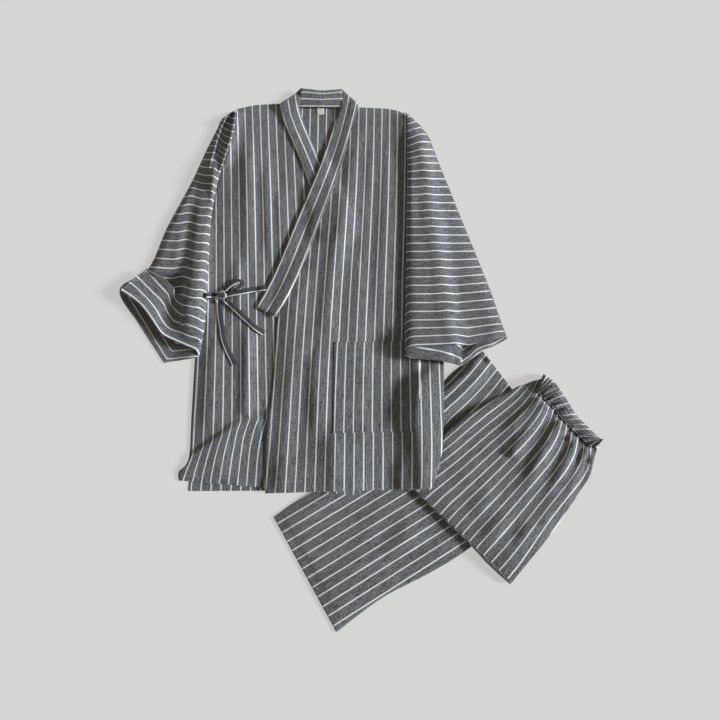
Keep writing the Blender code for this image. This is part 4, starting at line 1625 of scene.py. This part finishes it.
def stitch_tree():
    """A node tree that lays short rounded stitches along the edges of a mesh."""
    tree = bpy.data.node_groups.new("stitches", "GeometryNodeTree")
    face = tree.interface
    face.new_socket("Line", in_out="INPUT", socket_type="NodeSocketGeometry")
    sizes = {}
    for name, value in (("Pitch", cloth().stitch_pitch), ("Length", cloth().stitch_pitch * 0.78),
                        ("Thickness", 0.0006), ("Spread", 0.12)):
        socket = face.new_socket(name, in_out="INPUT", socket_type="NodeSocketFloat")
        sizes[socket.identifier] = value
    seed = face.new_socket("Seed", in_out="INPUT", socket_type="NodeSocketInt")
    sizes[seed.identifier] = 7
    thread = face.new_socket("Thread", in_out="INPUT", socket_type="NodeSocketMaterial")
    sizes[thread.identifier] = thread_finish()
    face.new_socket("Stitches", in_out="OUTPUT", socket_type="NodeSocketGeometry")

    def node(kind, **settings):
        made = tree.nodes.new(kind)
        for name, value in settings.items():
            setattr(made, name, value)
        return made

    given, given_back = node("NodeGroupInput"), node("NodeGroupOutput")
    curve = node("GeometryNodeMeshToCurve")
    points = node("GeometryNodeCurveToPoints", mode="LENGTH")
    turn = node("FunctionNodeAlignRotationToVector", axis="X")
    bead = node("GeometryNodeMeshUVSphere")
    bead.inputs["Segments"].default_value = 6
    bead.inputs["Rings"].default_value = 4
    bead.inputs["Radius"].default_value = 0.5
    size = node("ShaderNodeCombineXYZ")
    vary = node("FunctionNodeRandomValue", data_type="FLOAT")
    low = node("ShaderNodeMath", operation="SUBTRACT")
    low.inputs[0].default_value = 1.0
    laid_out = node("GeometryNodeInstanceOnPoints")
    real = node("GeometryNodeRealizeInstances")
    finish = node("GeometryNodeSetMaterial")
    smooth = node("GeometryNodeSetShadeSmooth")
    scaled = node("ShaderNodeVectorMath", operation="SCALE")
    for source, target in (
        (given.outputs["Line"], curve.inputs["Mesh"]),
        (curve.outputs["Curve"], points.inputs["Curve"]),
        (given.outputs["Pitch"], points.inputs["Length"]),
        (points.outputs["Points"], laid_out.inputs["Points"]),
        (points.outputs["Tangent"], turn.inputs["Vector"]),
        (turn.outputs["Rotation"], laid_out.inputs["Rotation"]),
        (bead.outputs["Mesh"], laid_out.inputs["Instance"]),
        (given.outputs["Length"], size.inputs["X"]),
        (given.outputs["Thickness"], size.inputs["Y"]),
        (given.outputs["Thickness"], size.inputs["Z"]),
        (given.outputs["Spread"], low.inputs[1]),
        (low.outputs[0], vary.inputs[2]),
        (given.outputs["Seed"], vary.inputs["Seed"]),
        (size.outputs["Vector"], scaled.inputs[0]),
        (vary.outputs[1], scaled.inputs["Scale"]),
        (scaled.outputs["Vector"], laid_out.inputs["Scale"]),
        (laid_out.outputs["Instances"], smooth.inputs["Geometry"]),
        (smooth.outputs["Geometry"], real.inputs["Geometry"]),
        (real.outputs["Geometry"], finish.inputs["Geometry"]),
        (given.outputs["Thread"], finish.inputs["Material"]),
        (finish.outputs["Geometry"], given_back.inputs["Stitches"]),
    ):
        tree.links.new(source, target)
    return tree, sizes


def make_stitches():
    """Every line of stitching, as one mesh."""
    points, edges = [], []
    for seam in SEAMS:
        grid = laid["tops"][seam.piece]
        line = line_inside(grid, seam.side, seam.inset, seam.start, seam.end) + (0, 0, 0.08)
        edges += [(len(points) + k, len(points) + k + 1) for k in range(len(line) - 1)]
        points += ((sighted(line) - CENTRE) * MM).tolist()
    mesh = bpy.data.meshes.new("stitch_lines")
    mesh.from_pydata(points, edges, [])
    guide = bpy.data.objects.new("stitch_lines", mesh)
    bpy.context.scene.collection.objects.link(guide)
    tree, sizes = stitch_tree()
    modifier = guide.modifiers.new("stitches", "NODES")
    modifier.node_group = tree
    for identifier, value in sizes.items():
        modifier[identifier] = value
    graph = bpy.context.evaluated_depsgraph_get()
    made = bpy.data.meshes.new_from_object(guide.evaluated_get(graph), depsgraph=graph)
    if not made.polygons:
        raise RuntimeError("the node tree made no stitches")
    made.name = "stitches"
    bpy.data.objects.remove(guide)
    stitches = bpy.data.objects.new("stitches", made)
    bpy.context.scene.collection.objects.link(stitches)
    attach(stitches, "root")


# ---------------------------------------------------------------- the cut of each piece

# A piece of several walls has them side by side round a tube, or end to end. The folded leg's
# walls run across the leg, so they are turned.
Cut = namedtuple("Cut", "piece rests_on joined turned held", defaults=((), "ends", False, "laid"))
CUTS = [
    Cut("leg_lower", joined="round"),
    Cut("leg_upper", ("leg_lower_cloth",), joined="round", turned=True, held="folded"),
    Cut("waist_casing", ("leg_upper_cloth",), held="gathered"),
    Cut("back", ("leg_upper_cloth",)),
    Cut("neck_label", ("back_cloth",)),
    Cut("right_front", ("back_cloth",)),
    Cut("left_front", ("right_front_cloth",)),
    Cut("pocket", ("left_front_cloth",)),
    Cut("collar_right", ("right_front_cloth",)),
    Cut("collar_left", ("left_front_cloth",)),
    Cut("sleeve_right", ("left_front_cloth",)),
    Cut("sleeve_left", ("right_front_cloth",)),
]
CUTS += [Cut("tie_" + end, ("right_front_cloth",))
         for end in ("side", "front", "tail_side", "tail_front", "loop")]


def flat_cut(walls, joined, turned):
    """Width, length and area in mm of the cloth that these walls make together."""
    widths, lengths = [wall.width for wall in walls], [wall.length for wall in walls]
    if turned:
        widths, lengths = lengths, widths
    area = sum(wall.area for wall in walls)
    if joined == "round":
        return sum(widths), max(lengths), area
    return max(widths), sum(lengths), area


def declare_cuts():
    """Work out how large each sheet of cloth was cut, as measured along the cloth itself; the sizes are
    not kept.
    """
    for cut in CUTS:
        width, length, area = flat_cut(laid["cuts"][cut.piece], cut.joined, cut.turned)
        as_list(cut.rests_on)


# ---------------------------------------------------------------- operators


def remake(*makers):
    """Run each maker in turn."""
    for maker in makers:
        maker()
    return {"FINISHED"}


class JINBEI_OT_trousers(bpy.types.Operator):
    """Lay the two legs of the trousers, one on the other, and the waist casing"""

    bl_idname = "jinbei.trousers"
    bl_label = "Trousers"

    def execute(self, context):
        return remake(make_leg_lower, make_leg_upper, make_waistband)


class JINBEI_OT_body(bpy.types.Operator):
    """Lay the jacket's back, its label and both fronts with the collar"""

    bl_idname = "jinbei.body"
    bl_label = "Jacket body"

    def execute(self, context):
        return remake(make_back, make_label, make_right_front, make_collar_right,
                      make_left_front, make_pocket, make_collar_left)


class JINBEI_OT_sleeves(bpy.types.Operator):
    """Lay both sleeves"""

    bl_idname = "jinbei.sleeves"
    bl_label = "Sleeves"

    def execute(self, context):
        return remake(make_sleeve_right, make_sleeve_left)


class JINBEI_OT_ties(bpy.types.Operator):
    """Lay the ties and their bow"""

    bl_idname = "jinbei.ties"
    bl_label = "Ties"

    def execute(self, context):
        return remake(make_ties, make_knot)


class JINBEI_OT_stitches(bpy.types.Operator):
    """Sew the hems, the pocket, the collar and the waist, and work out each piece's cut"""

    bl_idname = "jinbei.stitches"
    bl_label = "Stitches"

    def execute(self, context):
        return remake(make_stitches, declare_cuts)


class JINBEI_OT_stage(bpy.types.Operator):
    """Add the floor, the lights and the camera"""

    bl_idname = "jinbei.stage"
    bl_label = "Stage"

    def execute(self, context):
        scene = context.scene
        mesh = bpy.data.meshes.new("floor")
        half, drop = 6.0, -0.0003
        corners = [(-half, -half, drop), (half, -half, drop), (half, half, drop), (-half, half, drop)]
        mesh.from_pydata(corners, [], [(0, 1, 2, 3)])
        mesh.materials.append(floor_finish())
        floor = bpy.data.objects.new("floor", mesh)
        scene.collection.objects.link(floor)
        floor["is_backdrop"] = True
        world = bpy.data.worlds.new("soft room")
        world.use_nodes = True
        room = world.node_tree.nodes["Background"]
        room.inputs["Color"].default_value = (1.0, 0.96, 0.83, 1)
        room.inputs["Strength"].default_value = 0.24
        scene.world = world
        scene.view_settings.view_transform = "Standard"
        window = bpy.data.lights.new("window", "SUN")
        window.energy = 5.1
        window.color = (0.925, 0.98, 1.07)
        window.angle = math.radians(13.0)
        sun = bpy.data.objects.new("window", window)
        heading, rise = math.radians(-6.0), math.radians(21.0)
        toward = Vector((math.cos(heading), math.sin(heading), math.tan(rise)))
        sun.rotation_euler = toward.to_track_quat("Z", "Y").to_euler()
        scene.collection.objects.link(sun)
        lens = bpy.data.cameras.new("camera")
        lens.lens = 29.54
        lens.sensor_width = 36.0
        camera = bpy.data.objects.new("camera", lens)
        camera.location = (0.0176, -0.4192, 1.050)
        camera.rotation_euler = (math.radians(18.0), 0.0, 0.0)
        scene.collection.objects.link(camera)
        scene.camera = camera
        return {"FINISHED"}


STEPS = ("trousers", "body", "sleeves", "ties", "stitches", "stage")


class JINBEI_PT_panel(bpy.types.Panel):
    """Sizes, colours and the pieces of the set"""

    bl_label = "Jinbei set"
    bl_idname = "JINBEI_PT_panel"
    bl_space_type = "VIEW_3D"
    bl_region_type = "UI"
    bl_category = "Jinbei"

    def draw(self, context):
        layout = self.layout
        for group in (context.scene.jinbei_cloth, context.scene.jinbei_colours):
            box = layout.box()
            for name in group.__annotations__:
                box.prop(group, name)
        for step in STEPS:
            layout.operator("jinbei." + step)


CLASSES = (
    ClothSettings, ColourSettings, JINBEI_OT_trousers, JINBEI_OT_body, JINBEI_OT_sleeves,
    JINBEI_OT_ties, JINBEI_OT_stitches, JINBEI_OT_stage, JINBEI_PT_panel,
)


def register():
    for item in CLASSES:
        bpy.utils.register_class(item)
    bpy.types.Scene.jinbei_cloth = PointerProperty(type=ClothSettings)
    bpy.types.Scene.jinbei_colours = PointerProperty(type=ColourSettings)


def unregister():
    del bpy.types.Scene.jinbei_colours
    del bpy.types.Scene.jinbei_cloth
    for item in reversed(CLASSES):
        bpy.utils.unregister_class(item)


def main():
    register()
    for step in STEPS:
        getattr(bpy.ops.jinbei, step)()
    boxes = {"cad": cad_box, "visual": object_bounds()}
    {name: [list(corner) for corner in box] for name, box in boxes.items()}


if __name__ == "__main__":
    main()
